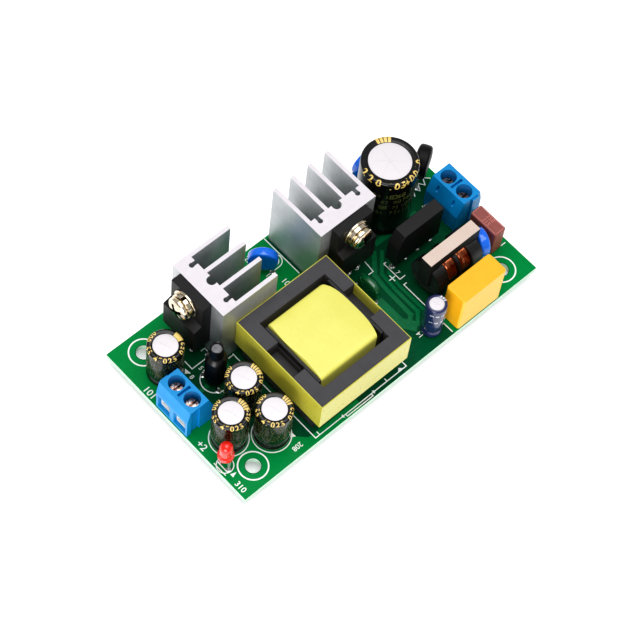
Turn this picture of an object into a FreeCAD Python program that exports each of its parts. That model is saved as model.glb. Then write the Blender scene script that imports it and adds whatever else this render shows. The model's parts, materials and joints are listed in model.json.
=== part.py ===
import FreeCAD, Part
import math
import os

# Open frame power supply: a single board with a screw terminal at each end, two finned heatsinks,
# a flat transformer, a mains filter and its capacitors. Millimetres. X runs along the board from the
# output end to the mains end, Y across it and Z up. The origin is the middle of the four mounting
# holes, on the underside of the board.

os.makedirs("parts", exist_ok=True)

V = FreeCAD.Vector

# Board
board_length = 89.0
board_width = 46.0
board_thickness = 1.6
mount_inset_x = 6.6
mount_inset_y = 4.9
mount_hole_d = 3.5
hole_clearance = 0.15
seated_tail = 2.5
trimmed_tail = 2.0

# Screw terminals, one at each end: two poles, 5.08 mm apart
terminal_pitch = 5.08
terminal_poles = 2
terminal_height = 10.0
terminal_depth = 7.6
terminal_setback = 0.2
terminal_y = 1.35
terminal_front_break = 3.6
terminal_front_lean = 0.8
terminal_back_break = 4.5
terminal_back_lean = 1.6
terminal_floor = 0.9
well_d = 3.8
well_depth = 4.5
well_inset = 3.52
entry_width = 3.8
cavity_back_wall = 1.5
top_slot = (3.5, 0.7, 1.2)
back_slot = (0.6, 1.8, 0.5)
back_slot_down = 1.1
rib_width = 2.0
rib_out = 0.45
rib_inset = 1.4
rib_drop = 0.6

# Contact boxes inside the terminals, their screws and pressure plates
contact_inset = 0.8
contact_length = 4.2
contact_wall = 0.4
contact_floor = 0.45
contact_nut = 0.9
contact_gap = 0.15
contact_pin = (0.7, 0.9)
screw_d = 2.4
screw_play = 0.05
screw_head_d = 3.5
screw_head_h = 1.4
screw_slot = (2.6, 0.5, 0.7)
screw_pitch = 0.45
turns_up = 3.0
turns_down = 1.5
plate_thickness = 0.4
plate_lip = 0.2
plate_side_gap = 0.1
seat_gap = 0.05

# Output capacitors
cap_d = 8.2
cap_h = 12.2
cap_end_margin = 2.9
cap_terminal_gap = 0.9
cap_lower_gap = 1.95
cap_stagger = 0.55
cap_up_gap = 0.4
cap_down_gap = 1.2
cap_pitch = 3.5
standoff = 0.3
sleeve_wall = 0.4
sleeve_play = 0.03
can_edge = 0.5
crimp_height = 2.1
crimp_depth = 0.25
rim_drop = 0.25

# Bulk capacitor and small supply capacitor
bulk_d = 13.3
bulk_h = 21.0
bulk_terminal_gap = 2.55
bulk_edge_margin = 5.35
bulk_pitch = 5.0
bulk_disc_d = 10.1
supply_d = 4.9
supply_h = 11.5
supply_gap = 1.85
supply_edge_margin = 1.75
supply_pitch = 2.0

# Heatsinks: an extruded base with four fins
sink_width = 16.4
sink_depth = 15.6
sink_height = 20.5
sink_base = 4.4
fin_thickness = 1.0
fin_count = 4
key_slot_r = 0.62
key_slot_depth = 1.9
key_slot_out = 0.45
key_slot_mouth = 1.0
notch_r = 1.15
notch_sunk = 0.5
output_sink_margin = 1.1
output_device_gap = 2.1
primary_sink_margin = 0.8
primary_sink_gap = 1.8
sink_peg_rise = 6.0
sink_peg_play = 0.05

# Power devices in fully moulded packages, screwed to the heatsinks
device_width = 10.2
device_height = 15.9
device_tab = 2.54
device_depth = 4.7
device_tab_height = 6.7
device_step = 0.8
device_foot = 0.4
device_drop = 0.1
device_hole_d = 3.2
device_hole_down = 3.1
device_lead_pitch = 2.54
device_lead_out = 2.7
device_lead = (0.5, 0.75)
device_shoulder = (1.3, 2.6)
output_device_shift = 0.6
fixing_d = 2.9
fixing_bite = 4.0
fixing_head_d = 5.6
fixing_head_h = 2.9
fixing_washer = (7.0, 0.5)
fixing_play = 0.02

# Transformer on a flat core pair
core_length = 25.8
core_width = 26.8
core_height = 9.4
core_leg = 3.2
core_back = 3.3
core_tongue = (11.4, 5.2)
core_notch = (8.4, 4.2)
core_lift = 4.3
tape_wall = 0.3
tape_shy = 0.15
bobbin_wall = 0.8
flange_wall = 0.7
flange_gap = 0.1
flange_seat = 1.8
rail_height = 3.6
rail_lift = 0.6
rail_length = 23.0
coil_width = 17.4
coil_height = 10.9
coil_round = 3.4
transformer_pins = 5
transformer_pin_pitch = 5.0
transformer_pin = 0.7
transformer_pin_inset = 1.6
transformer_sink_gap = 0.15
transformer_shift = 0.5

# Rod choke in heat-shrink
rod_d = 2.4
rod_top = 14.3
rod_bottom = 1.4
rod_sleeve_d = 4.8
rod_sleeve_rise = 0.6
rod_pitch = 5.08
rod_cap_gap = 1.65
rod_shift = 0.6

# Light
led_d = 3.0
led_flange_d = 3.7
led_flange_h = 0.9
led_body_h = 3.8
led_lift = 4.7
led_edge_margin = 2.1
led_cap_gap = 0.2
led_pitch = 2.54

# Bridge rectifier
bridge_width = 13.8
bridge_height = 10.7
bridge_thickness = 3.3
bridge_chamfer = (1.7, 3.8)
bridge_lift = 3.3
bridge_lead_pitch = 3.81
bridge_lead = (1.1, 0.5)
bridge_gap = 4.05
bridge_shift = 2.35

# Mains filter choke: a ring of two U cores standing on its bobbin
choke_width = 15.3
choke_leg = 3.05
choke_top = 14.0
choke_window = 3.0
choke_coil_d = 8.0
choke_tube_wall = 0.5
choke_flange = 9.0
choke_flange_wall = 0.8
choke_cheek_reach = 2.4
choke_core_play = 0.1
choke_foot = (1.6, 7.6)
choke_foot_lift = 0.4
choke_pin = 0.7
choke_pin_spread = 5.0
choke_bridge_gap = 3.1
choke_shift = 0.75

# Box capacitor, fuse, thermistor and disc capacitors
box_cap = (13.3, 5.7, 12.0)
box_cap_edge = 0.4
box_cap_gap = 2.15
box_cap_shift = 1.75
box_cap_pitch = 10.0
fuse = (3.4, 8.2, 8.0)
fuse_edge = 0.3
fuse_end_margin = 2.4
fuse_terminal_gap = 1.9
fuse_pitch = 5.08
body_lift = 0.3
thermistor_d = 7.6
thermistor_t = 3.4
thermistor_lift = 4.2
thermistor_end_margin = 4.1
thermistor_terminal_gap = 5.3
thermistor_turn = 30.0
disc_d = 7.0
disc_t = 2.6
disc_lift = 2.0
disc_dip = 0.6
disc_pitch = 5.0
rear_disc_margin = 2.4
rear_disc_shift = 3.4
line_disc_gap = 2.75
line_disc_back = 2.3
line_disc_turn = 68.0
line_disc_lift = 3.0
bridging_disc_margin = 6.2
bridging_disc_turn = -45.0
wire_lead = 0.6

# Dipped film capacitor in front of the transistor
film_cap = (2.8, 6.4, 5.9)
film_cap_tip = 0.9
film_cap_edge = 0.4
film_cap_lift = 0.5
film_cap_pitch = 5.0
film_cap_gap = 1.8
film_cap_shift = 0.85

# Underside: controller, optocoupler, diodes and chips
controller = (4.9, 3.9, 1.5)
controller_place = (10.8, -11.0)
controller_legs = 4
leg_pitch = 1.27
leg = (0.4, 1.0, 0.2)
coupler = (4.4, 3.6, 1.9)
coupler_place = (-9.5, -14.5)
coupler_legs = 2
coupler_leg_pitch = 2.54
diode = (3.5, 2.6, 1.9)
diode_tab = (0.4, 1.4, 0.75)
diode_places = ((9.5, -3.6), (-16.5, -3.0))
chip = (2.0, 1.25, 0.55)
chip_step = 2.6
chip_starts = ((4.2, -17.5), (6.0, -6.6), (-15.0, -9.5), (-36.0, -6.9))
chip_counts = (4, 4, 5, 2)

top = board_thickness
half_length = board_length / 2
half_width = board_width / 2
lead_holes = []


def block(cx, cy, z, dx, dy, dz):
    return Part.makeBox(dx, dy, dz, V(cx - dx / 2, cy - dy / 2, z))


def rod(cx, cy, z, radius, height):
    return Part.makeCylinder(radius, height, V(cx, cy, z))


def rod_along(axis, start, radius, length):
    return Part.makeCylinder(radius, length, start, axis)


def extruded(points, direction):
    return Part.Face(Part.makePolygon(points + [points[0]])).extrude(direction)


def turned(profile, cx=0.0, cy=0.0):
    points = [V(cx + r, cy, z) for r, z in profile]
    face = Part.Face(Part.makePolygon(points + [points[0]]))
    return face.revolve(V(cx, cy, 0), V(0, 0, 1), 360)


def fused(shapes):
    return shapes[0].multiFuse(shapes[1:]).removeSplitter()


def placed(shape, x, y, z=0.0, turn=0.0):
    moved = shape.copy()
    moved.rotate(V(0, 0, 0), V(0, 0, 1), turn)
    moved.translate(V(x, y, z))
    return moved


def lead(x, y, rise, dx=wire_lead, dy=wire_lead, tail=trimmed_tail):
    # A straight lead from its tip below the board up to rise above it, and its hole in the board
    lead_holes.append((x, y, dx + 2 * hole_clearance, dy + 2 * hole_clearance))
    return block(x, y, -tail, dx, dy, tail + top + rise)


def export(name, solids):
    shape = solids[0] if len(solids) == 1 else Part.makeCompound(solids)
    shape.exportStep("parts/" + name + ".step")


# Screw terminals. Built with the wire entry at x = 0 facing -X and the base at z = 0.

terminal_width = terminal_pitch * terminal_poles
pole_ys = [(i - (terminal_poles - 1) / 2) * terminal_pitch for i in range(terminal_poles)]
well_floor = terminal_height - well_depth
contact_bottom = terminal_floor + contact_gap
contact_top = well_floor - 2 * contact_gap
contact_width = entry_width - 2 * contact_gap
chamber_floor = contact_bottom + contact_floor
chamber_roof = contact_top - contact_nut
rise_up = turns_up * screw_pitch
drop_down = turns_down * screw_pitch
tip_height = chamber_roof - plate_lip - rise_up
plate_width = contact_width - 2 * contact_wall - 2 * plate_side_gap
plate_length = screw_d + 2 * (plate_thickness + plate_side_gap)
head_seat = contact_top + seat_gap + drop_down


def terminal_housing():
    d = terminal_depth
    h = terminal_height
    side = [
        (0, 0),
        (0, h - terminal_front_break),
        (terminal_front_lean, h),
        (d - terminal_back_lean, h),
        (d, h - terminal_back_break),
        (d, 0),
    ]
    points = [V(x, -terminal_width / 2, z) for x, z in side]
    body = extruded(points, V(0, terminal_width, 0))
    rib_height = h - rib_drop
    rib_x = rib_inset + rib_width / 2
    body = body.fuse(block(rib_x, terminal_width / 2, 0, rib_width, 2 * rib_out, rib_height))
    groove_width = rib_width + 2 * contact_gap
    body = body.cut(block(rib_x, -terminal_width / 2, 0, groove_width, 2 * rib_out, rib_height))
    cavity_length = d - cavity_back_wall
    slope = terminal_back_lean / terminal_back_break
    for y in pole_ys:
        body = body.cut(rod(well_inset, y, well_floor, well_d / 2, well_depth))
        cavity_height = well_floor - terminal_floor
        cavity = block(cavity_length / 2, y, terminal_floor, cavity_length, entry_width, cavity_height)
        body = body.cut(cavity)
        pin_x, pin_y = (size + 2 * contact_gap for size in contact_pin)
        body = body.cut(block(well_inset, y, 0, pin_x, pin_y, terminal_floor))
        slot_y, slot_z, slot_in = back_slot
        slot_top = h - back_slot_down
        face_x = d - terminal_back_lean + slope * (h - slot_top + slot_z / 2)
        body = body.cut(block(face_x, y, slot_top - slot_z, 2 * slot_in, slot_y, slot_z))
    length, width, depth = top_slot
    middle = (terminal_front_lean + d - terminal_back_lean) / 2
    body = body.cut(block(middle, 0, h - depth, length, width, depth))
    return body.removeSplitter()


def contact_box(y):
    length = contact_length
    middle = contact_inset + length / 2
    height = contact_top - contact_bottom
    outer = block(middle, y, contact_bottom, length, contact_width, height)
    room = block(
        middle, y, chamber_floor, length, contact_width - 2 * contact_wall, chamber_roof - chamber_floor
    )
    tapped = rod(well_inset, y, chamber_roof, screw_d / 2 + screw_play, contact_nut)
    pin_length = contact_bottom + board_thickness + seated_tail
    pin = block(well_inset, y, contact_bottom - pin_length, contact_pin[0], contact_pin[1], pin_length)
    return outer.cut(room).cut(tapped).fuse(pin).removeSplitter()


def pressure_plate(y):
    plate_top = tip_height - seat_gap
    low = plate_top - plate_thickness
    body = block(well_inset, y, low, plate_length, plate_width, plate_thickness)
    lip_x = well_inset - (plate_length - plate_thickness) / 2
    lip = block(lip_x, y, low, plate_thickness, plate_width, plate_thickness + plate_lip)
    return body.fuse(lip).removeSplitter()


def terminal_screw(y):
    profile = [
        (0, tip_height),
        (screw_d / 2, tip_height),
        (screw_d / 2, head_seat),
        (screw_head_d / 2, head_seat),
        (screw_head_d / 2, head_seat + screw_head_h),
        (0, head_seat + screw_head_h),
    ]
    length, width, depth = screw_slot
    slot = block(well_inset, y, head_seat + screw_head_h - depth, length, width, depth)
    return turned(profile, well_inset, y).cut(slot)


def at_output(shape):
    return placed(shape, -half_length + terminal_setback, terminal_y, top)


def at_mains(shape):
    return placed(shape, half_length - terminal_setback, terminal_y, top, 180)


def make_terminals():
    contacts = []
    for end, place in (("output", at_output), ("mains", at_mains)):
        export(end + "_terminal", [place(terminal_housing())])
        for number, y in enumerate(pole_ys, 1):
            contacts.append(place(contact_box(y)))
            export(f"{end}_screw_{number}", [place(terminal_screw(y))])
            export(f"{end}_pressure_plate_{number}", [place(pressure_plate(y))])
            spot = place(Part.Vertex(V(well_inset, y, 0))).Point
            dx, dy = (size + 2 * hole_clearance for size in contact_pin)
            lead_holes.append((spot.x, spot.y, dx, dy))
    export("terminal_contacts", contacts)


# Round capacitors: cans in shrunk sleeves. The bulk capacitor is large enough for its sleeve to show as
# a piece of its own, with a crimp over the rubber and a rim that leaves a disc of the can bare.


def wrapped_can(r, height, z):
    # The outside from the bottom up: the straight wall and the rounded edge
    return [(r, z), (r, z + height - can_edge), (r - can_edge, z + height)]


def make_capacitor(name, diameter, height, x, y):
    z = top + standoff
    outline = wrapped_can(diameter / 2, height, z)
    export(name, [turned([(0, z)] + outline + [(0, z + height)], x, y)])


def make_bulk_capacitor():
    z = top + standoff
    neck = bulk_d / 2 - crimp_depth
    crimp = [(neck, z), (neck, z + crimp_height), (bulk_d / 2, z + crimp_height)]
    outline = crimp + wrapped_can(bulk_d / 2, bulk_h, z)[1:]
    rim = [(bulk_disc_d / 2, z + bulk_h - rim_drop)]
    can_r = bulk_d / 2 - sleeve_wall
    can_top = z + bulk_h - rim_drop - sleeve_play
    bore = can_r + sleeve_play
    export("bulk_capacitor", [rod(bulk_x, bulk_y, z, can_r, can_top - z)])
    inside = [(bore, can_top + sleeve_play), (bore, z)]
    export("bulk_capacitor_sleeve", [turned(outline + rim + inside, bulk_x, bulk_y)])


def lead_pair(x, y, pitch, rise, turn=0.0):
    dx = pitch / 2 * math.cos(math.radians(turn))
    dy = pitch / 2 * math.sin(math.radians(turn))
    return [lead(x - dx, y - dy, rise), lead(x + dx, y + dy, rise)]


cap_x = -half_length + cap_end_margin + cap_d / 2
inner_cap_x = cap_x + cap_d - cap_stagger
upper_cap_y = terminal_y + terminal_width / 2 + cap_terminal_gap + cap_d / 2
lower_cap_y = terminal_y - terminal_width / 2 - cap_lower_gap - cap_d / 2
cap_places = [
    (cap_x, upper_cap_y),
    (inner_cap_x, lower_cap_y + cap_d / 2 + cap_up_gap),
    (cap_x, lower_cap_y),
    (inner_cap_x, lower_cap_y - cap_d / 2 - cap_down_gap),
]
terminal_back_x = half_length - terminal_setback - terminal_depth
bulk_x = terminal_back_x - bulk_terminal_gap - bulk_d / 2
bulk_y = half_width - bulk_edge_margin - bulk_d / 2

# Filter parts between the bulk capacitor and the board's lower edge

bridge_x = bulk_x - bridge_shift
bridge_y = bulk_y - bulk_d / 2 - bridge_gap - bridge_thickness / 2
choke_x = bulk_x - choke_shift
choke_y = bridge_y - bridge_thickness / 2 - choke_bridge_gap - choke_flange / 2
box_cap_x = bulk_x - box_cap_shift
box_cap_y = choke_y - choke_flange / 2 - box_cap_gap - box_cap[1] / 2
supply_x = box_cap_x - box_cap[0] / 2 - supply_gap - supply_d / 2
supply_y = -half_width + supply_edge_margin + supply_d / 2


def make_capacitors():
    leads = []
    for number, (x, y) in enumerate(cap_places, 1):
        make_capacitor(f"output_capacitor_{number}", cap_d, cap_h, x, y)
        leads += lead_pair(x, y, cap_pitch, standoff)
    make_bulk_capacitor()
    leads += lead_pair(bulk_x, bulk_y, bulk_pitch, standoff)
    make_capacitor("supply_capacitor", supply_d, supply_h, supply_x, supply_y)
    leads += lead_pair(supply_x, supply_y, supply_pitch, standoff)
    return leads


# Heatsinks and their devices. Built with the device face at x = 0, fins towards +X and z = 0 at the base.

output_sink_x = cap_x + cap_d / 2 + output_device_gap + device_depth
output_sink_y = half_width - output_sink_margin - sink_width / 2
primary_sink_x = bulk_x - bulk_d / 2 - primary_sink_gap - sink_width / 2
primary_sink_y = half_width - primary_sink_margin - sink_depth
fin_pitch = (sink_width - fin_thickness) / (fin_count - 1)
key_slot_y = fin_pitch + key_slot_out
key_slot_x = sink_base - key_slot_depth + key_slot_r
device_top = sink_height - device_drop
device_bottom = device_top - device_height
fixing_z = device_top - device_hole_down
X_AXIS = V(1, 0, 0)


def at_output_sink(shape):
    return placed(shape, output_sink_x, output_sink_y, top)


def at_primary_sink(shape):
    return placed(shape, primary_sink_x, primary_sink_y, top, 90)


def heatsink(shift):
    fin_ys = [-sink_width / 2 + fin_thickness / 2 + i * fin_pitch for i in range(fin_count)]
    pieces = [block(sink_base / 2, 0, 0, sink_base, sink_width, sink_height)]
    for y in fin_ys:
        pieces.append(block(sink_depth / 2, y, 0, sink_depth, fin_thickness, sink_height))
    sink = fused(pieces)
    for y in (-key_slot_y, key_slot_y):
        sink = sink.cut(rod(key_slot_x, y, 0, key_slot_r, sink_height))
        mouth = block(key_slot_x + key_slot_depth / 2, y, 0, key_slot_depth, key_slot_mouth, sink_height)
        sink = sink.cut(mouth)
    sink = sink.cut(rod(sink_base - notch_sunk, 0, 0, notch_r, sink_height))
    tapped = rod_along(X_AXIS, V(0, shift, fixing_z), fixing_d / 2 + screw_play / 2, sink_base)
    return sink.cut(tapped).removeSplitter()


def sink_pegs():
    size = (key_slot_r - sink_peg_play) * math.sqrt(2)
    tail = board_thickness + seated_tail
    return [block(key_slot_x, y, -tail, size, size, tail + sink_peg_rise) for y in (-key_slot_y, key_slot_y)]


def device_body(shift):
    side = [
        (0, device_bottom),
        (0, device_top),
        (-device_tab, device_top),
        (-device_tab, device_top - device_tab_height),
        (-device_depth, device_top - device_tab_height - device_step),
        (-device_depth, device_bottom + device_foot),
        (-device_depth + device_foot, device_bottom),
    ]
    points = [V(x, shift - device_width / 2, z) for x, z in side]
    body = extruded(points, V(0, device_width, 0))
    hole = rod_along(X_AXIS, V(-device_depth, shift, fixing_z), device_hole_d / 2, device_depth)
    return body.cut(hole)


def device_leads(shift):
    dx, dy = device_lead
    wide, drop = device_shoulder
    leads = []
    for i in (-1, 0, 1):
        y = shift + i * device_lead_pitch
        tail = board_thickness + trimmed_tail
        thin = block(-device_lead_out, y, -tail, dx, dy, tail + device_bottom)
        shoulder = block(-device_lead_out, y, device_bottom - drop, dx, wide, drop)
        leads.append(thin.fuse(shoulder).removeSplitter())
    return leads


def device_screw(shift):
    # A pan head screw with its washers, from its end in the sink out to its head
    washer_d, washer_t = fixing_washer
    seat = fixing_bite + device_tab + fixing_play
    profile = [
        (0, 0),
        (fixing_d / 2, 0),
        (fixing_d / 2, seat),
        (washer_d / 2, seat),
        (washer_d / 2, seat + washer_t),
        (fixing_head_d / 2, seat + washer_t),
        (fixing_head_d / 2, seat + washer_t + fixing_head_h),
        (0, seat + washer_t + fixing_head_h),
    ]
    screw = turned(profile)
    screw.rotate(V(0, 0, 0), V(0, 1, 0), -90)
    screw.translate(V(fixing_bite, shift, fixing_z))
    return screw


def make_heatsinks():
    screws, leads, pegs = [], [], []
    rows = (
        ("output", at_output_sink, output_device_shift, "rectifier"),
        ("primary", at_primary_sink, 0.0, "transistor"),
    )
    for name, place, shift, device in rows:
        export(name + "_heatsink", [place(heatsink(shift))])
        export("power_" + device, [place(device_body(shift))])
        screws.append(place(device_screw(shift)))
        own_pegs = [place(peg) for peg in sink_pegs()]
        own_leads = [place(one) for one in device_leads(shift)]
        for one in own_pegs + own_leads:
            spot = one.common(block(0, 0, 0, 2 * board_length, 2 * board_width, top)).BoundBox
            dx, dy = spot.XLength + 2 * hole_clearance, spot.YLength + 2 * hole_clearance
            lead_holes.append((spot.Center.x, spot.Center.y, dx, dy))
        pegs += own_pegs
        leads += own_leads
    export("heatsink_pegs", pegs)
    export("device_leads", leads)
    export("device_screws", screws)


# Transformer. Built round its own middle, with z = 0 at the board's top face.

# It stands between the inner output capacitors and the transistor, a little nearer to the transistor
room_left = inner_cap_x + cap_d / 2
room_right = primary_sink_x - device_width / 2
transformer_x = (room_left + room_right) / 2 + transformer_shift
transformer_y = output_sink_y - sink_width / 2 - transformer_sink_gap - tape_wall - core_width / 2
core_middle = core_lift + core_height / 2
window_half = core_length / 2 - core_back
flange_outer = window_half - flange_gap
coil_half = flange_outer - flange_wall


def core_half():
    # One E half with its back towards +X: a back, two outer legs, a flat tongue and a notch over it
    half = core_length / 2
    back = block(half - core_back / 2, 0, core_lift, core_back, core_width, core_height)
    pieces = [back]
    for side in (-1, 1):
        y = side * (core_width - core_leg) / 2
        pieces.append(block(half / 2, y, core_lift, half, core_leg, core_height))
    width, thick = core_tongue
    pieces.append(block(half / 2, 0, core_middle - thick / 2, half, width, thick))
    core = fused(pieces)
    notch_width, notch_depth = core_notch
    notch_z = core_lift + core_height - notch_depth
    return core.cut(block(half, 0, notch_z, 2 * core_back, notch_width, notch_depth)).removeSplitter()


def bobbin():
    width, thick = core_tongue
    tube_width = width + 2 * bobbin_wall
    tube_height = thick + 2 * bobbin_wall
    pieces = [block(0, 0, core_middle - tube_height / 2, 2 * flange_outer, tube_width, tube_height)]
    rail_outer = core_length / 2 - flange_gap
    rail_width = rail_outer - coil_half
    flange_bottom = rail_lift + rail_height - flange_seat
    flange_height = core_lift + core_height - flange_bottom
    for side in (-1, 1):
        flange_x = side * (flange_outer - flange_wall / 2)
        pieces.append(block(flange_x, 0, flange_bottom, flange_wall, coil_width, flange_height))
        rail_x = side * (coil_half + rail_width / 2)
        pieces.append(block(rail_x, 0, rail_lift, rail_width, rail_length, rail_height))
    hole_width = width + 2 * flange_gap
    hole_height = thick + 2 * flange_gap
    hole = block(0, 0, core_middle - hole_height / 2, core_length, hole_width, hole_height)
    return fused(pieces).cut(hole).removeSplitter()


def coil():
    body = block(0, 0, core_middle - coil_height / 2, 2 * coil_half, coil_width, coil_height)
    long_edges = [edge for edge in body.Edges if abs(edge.BoundBox.XLength - 2 * coil_half) < 0.01]
    body = body.makeFillet(coil_round, long_edges)
    width, thick = core_tongue
    wall = 2 * bobbin_wall + flange_gap
    core = block(0, 0, core_middle - (thick + wall) / 2, core_length, width + wall, thick + wall)
    return body.cut(core)


def tape_band():
    height = core_height - 2 * tape_shy
    length = core_length + 2 * tape_wall
    width = core_width + 2 * tape_wall
    outer = block(0, 0, core_lift + tape_shy, length, width, height)
    return outer.cut(block(0, 0, core_lift + tape_shy, core_length, core_width, height))


def make_transformer():
    x = transformer_x
    y = transformer_y
    export("transformer_core_left", [placed(core_half(), x, y, top, 180)])
    export("transformer_core_right", [placed(core_half(), x, y, top)])
    export("transformer_bobbin", [placed(bobbin(), x, y, top)])
    export("transformer_coil", [placed(coil(), x, y, top)])
    export("transformer_tape", [placed(tape_band(), x, y, top)])
    pins = []
    pin_x = core_length / 2 - transformer_pin_inset
    for side in (-1, 1):
        for i in range(transformer_pins):
            pin_y = (i - (transformer_pins - 1) / 2) * transformer_pin_pitch
            size = transformer_pin
            pins.append(lead(x + side * pin_x, y + pin_y, rail_lift, size, size, seated_tail))
    export("transformer_pins", pins)


# Small wound parts and the light


def make_rod_choke():
    x = inner_cap_x - rod_shift
    y = cap_places[1][1] + cap_d / 2 + rod_cap_gap + rod_sleeve_d / 2
    z = top + rod_bottom
    bore = rod_d / 2 + sleeve_play
    skin = rod_sleeve_d / 2
    high = top + rod_top + rod_sleeve_rise
    export("rod_choke_core", [rod(x, y, z, rod_d / 2, rod_top - rod_bottom)])
    export("rod_choke_winding", [turned([(bore, z), (skin, z), (skin, high), (bore, high)], x, y)])
    foot_x = x - skin / 2
    return [
        lead(foot_x, y - rod_pitch / 2, rod_bottom),
        lead(foot_x, y + rod_pitch / 2, rod_bottom),
    ]


def make_light():
    x = -half_length + led_edge_margin
    y = lower_cap_y - cap_d / 2 - led_cap_gap
    z = top + led_lift
    r = led_d / 2
    dome_z = z + led_body_h
    dome = []
    for degrees in (0, 45):
        angle = math.radians(degrees)
        dome.append((r * math.cos(angle), dome_z + r * math.sin(angle)))
    flange = led_flange_d / 2
    profile = [(0, z), (flange, z), (flange, z + led_flange_h), (r, z + led_flange_h)]
    export("indicator_light", [turned(profile + dome + [(0, dome_z + r)], x, y)])
    return lead_pair(x, y, led_pitch, led_lift, 90)


def make_bridge():
    w = bridge_width / 2
    z = top + bridge_lift
    cut_x, cut_z = bridge_chamfer
    front = [
        (-w, z),
        (w, z),
        (w, z + bridge_height),
        (-w + cut_x, z + bridge_height),
        (-w, z + bridge_height - cut_z),
    ]
    points = [V(bridge_x + x, bridge_y - bridge_thickness / 2, height) for x, height in front]
    export("bridge_rectifier", [extruded(points, V(0, bridge_thickness, 0))])
    leads = []
    for i in range(4):
        x = bridge_x + (i - 1.5) * bridge_lead_pitch
        leads.append(lead(x, bridge_y, bridge_lift, bridge_lead[0], bridge_lead[1]))
    export("bridge_leads", leads)


def make_line_choke():
    x = choke_x
    y = choke_y
    upper_z = top + choke_top - choke_leg
    lower_z = upper_z - choke_window - choke_leg
    axis_z = lower_z + choke_leg / 2
    height = 2 * choke_leg + choke_window
    ring = block(x, y, lower_z, choke_width, choke_leg, height)
    window_width = choke_width - 2 * choke_leg
    ring = ring.cut(block(x, y, lower_z + choke_leg, window_width, choke_leg, choke_window))
    for side, name in ((-1, "left"), (1, "right")):
        half = block(x + side * choke_width / 4, y, lower_z, choke_width / 2, choke_leg, height)
        export("line_choke_core_" + name, [ring.common(half)])
    bore = choke_leg + 2 * choke_core_play
    tube = bore + 2 * choke_tube_wall
    half_span = window_width / 2 - choke_core_play
    wall = choke_flange_wall
    pieces = [
        block(x, y, axis_z - tube / 2, 2 * half_span, tube, tube),
        rod_along(X_AXIS, V(x - wall / 2, y, axis_z), choke_flange / 2, wall),
    ]
    # Each cheek starts inside the window and reaches out over the core's leg, which slides into its slot
    cheek = wall + choke_cheek_reach
    foot_long, foot_wide = choke_foot
    foot_z = top + choke_foot_lift
    foot_spots = []
    for side, begin in ((-1, x - half_span + wall - cheek), (1, x + half_span - wall)):
        pieces.append(rod_along(X_AXIS, V(begin, y, axis_z), choke_flange / 2, cheek))
        foot_x = x + side * (half_span - wall + foot_long / 2)
        pieces.append(block(foot_x, y, foot_z, foot_long, foot_wide, axis_z - foot_z))
        foot_spots.append(foot_x)
    spool = fused(pieces).cut(block(x, y, axis_z - bore / 2, choke_width, bore, bore))
    for side in (-1, 1):
        slot_x = x + side * (half_span + choke_leg / 2)
        spool = spool.cut(block(slot_x, y, axis_z - bore / 2, choke_leg, bore, choke_flange))
    export("line_choke_bobbin", [spool.removeSplitter()])
    windings = []
    section = half_span - 1.5 * wall
    gap = sleeve_play
    hollow = tube + 2 * gap
    for begin in (-half_span + wall, wall / 2):
        start = V(x + begin + gap, y, axis_z)
        turns = rod_along(X_AXIS, start, choke_coil_d / 2, section - 2 * gap)
        windings.append(turns.cut(block(x, y, axis_z - hollow / 2, choke_width, hollow, hollow)))
    export("line_choke_windings", windings)
    pins = []
    for foot_x in foot_spots:
        for side in (-1, 1):
            pin_y = y + side * choke_pin_spread / 2
            pins.append(lead(foot_x, pin_y, choke_foot_lift, choke_pin, choke_pin))
    export("line_choke_pins", pins)


# Box and disc parts


def edged_block(cx, cy, z, size, edge):
    body = block(cx, cy, z, *size)
    upright = [one for one in body.Edges if one.BoundBox.ZLength > size[2] / 2]
    return body.makeChamfer(edge, upright)


def disc(diameter, thickness, foot):
    # A dipped disc on edge: its faces look along Y, its middle is at the origin, and the dip runs
    # down over the two leads to foot below the middle
    r = diameter / 2
    t = thickness / 2
    flat = r - t
    profile = [(0, -t), (flat, -t), (r, 0), (flat, t), (0, t)]
    body = turned(profile)
    body.rotate(V(0, 0, 0), V(1, 0, 0), 90)
    skirt = block(0, 0, -foot, disc_pitch + 2 * wire_lead, thickness / 2, foot)
    return body.fuse(skirt).removeSplitter()


def standing_disc(diameter, thickness, lift, x, y, turn):
    # lift is the height of its lowest dip over the board
    foot = diameter / 2 + disc_dip
    middle = diameter / 2 + lift
    body = placed(disc(diameter, thickness, foot), x, y, top + middle, turn)
    return body, lead_pair(x, y, disc_pitch, middle - foot, turn)


def make_boxes_and_discs():
    export("box_capacitor", [edged_block(box_cap_x, box_cap_y, top + body_lift, box_cap, box_cap_edge)])
    leads = lead_pair(box_cap_x, box_cap_y, box_cap_pitch, body_lift)
    fuse_x = half_length - fuse_end_margin - fuse[0] / 2
    fuse_y = terminal_y - terminal_width / 2 - fuse_terminal_gap - fuse[1] / 2
    export("fuse", [edged_block(fuse_x, fuse_y, top + body_lift, fuse, fuse_edge)])
    leads += lead_pair(fuse_x, fuse_y, fuse_pitch, body_lift, 90)
    x = half_length - thermistor_end_margin
    y = terminal_y + terminal_width / 2 + thermistor_terminal_gap
    body, pair = standing_disc(thermistor_d, thermistor_t, thermistor_lift, x, y, thermistor_turn)
    export("inrush_thermistor", [body])
    leads += pair
    gap_left = output_sink_x + sink_depth
    gap_right = primary_sink_x - sink_width / 2
    middle = (gap_left + gap_right) / 2
    line_x = fuse_x - fuse[0] / 2 - line_disc_gap
    spots = (
        ("bridging_capacitor", middle, half_width - bridging_disc_margin, disc_lift, bridging_disc_turn),
        ("line_disc_capacitor", line_x, fuse_y - line_disc_back, line_disc_lift, line_disc_turn),
        ("rear_disc_capacitor", bulk_x + rear_disc_shift, half_width - rear_disc_margin, disc_lift, 0.0),
    )
    for name, x, y, lift, turn in spots:
        body, pair = standing_disc(disc_d, disc_t, lift, x, y, turn)
        export(name, [body])
        leads += pair
    return leads


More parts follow.
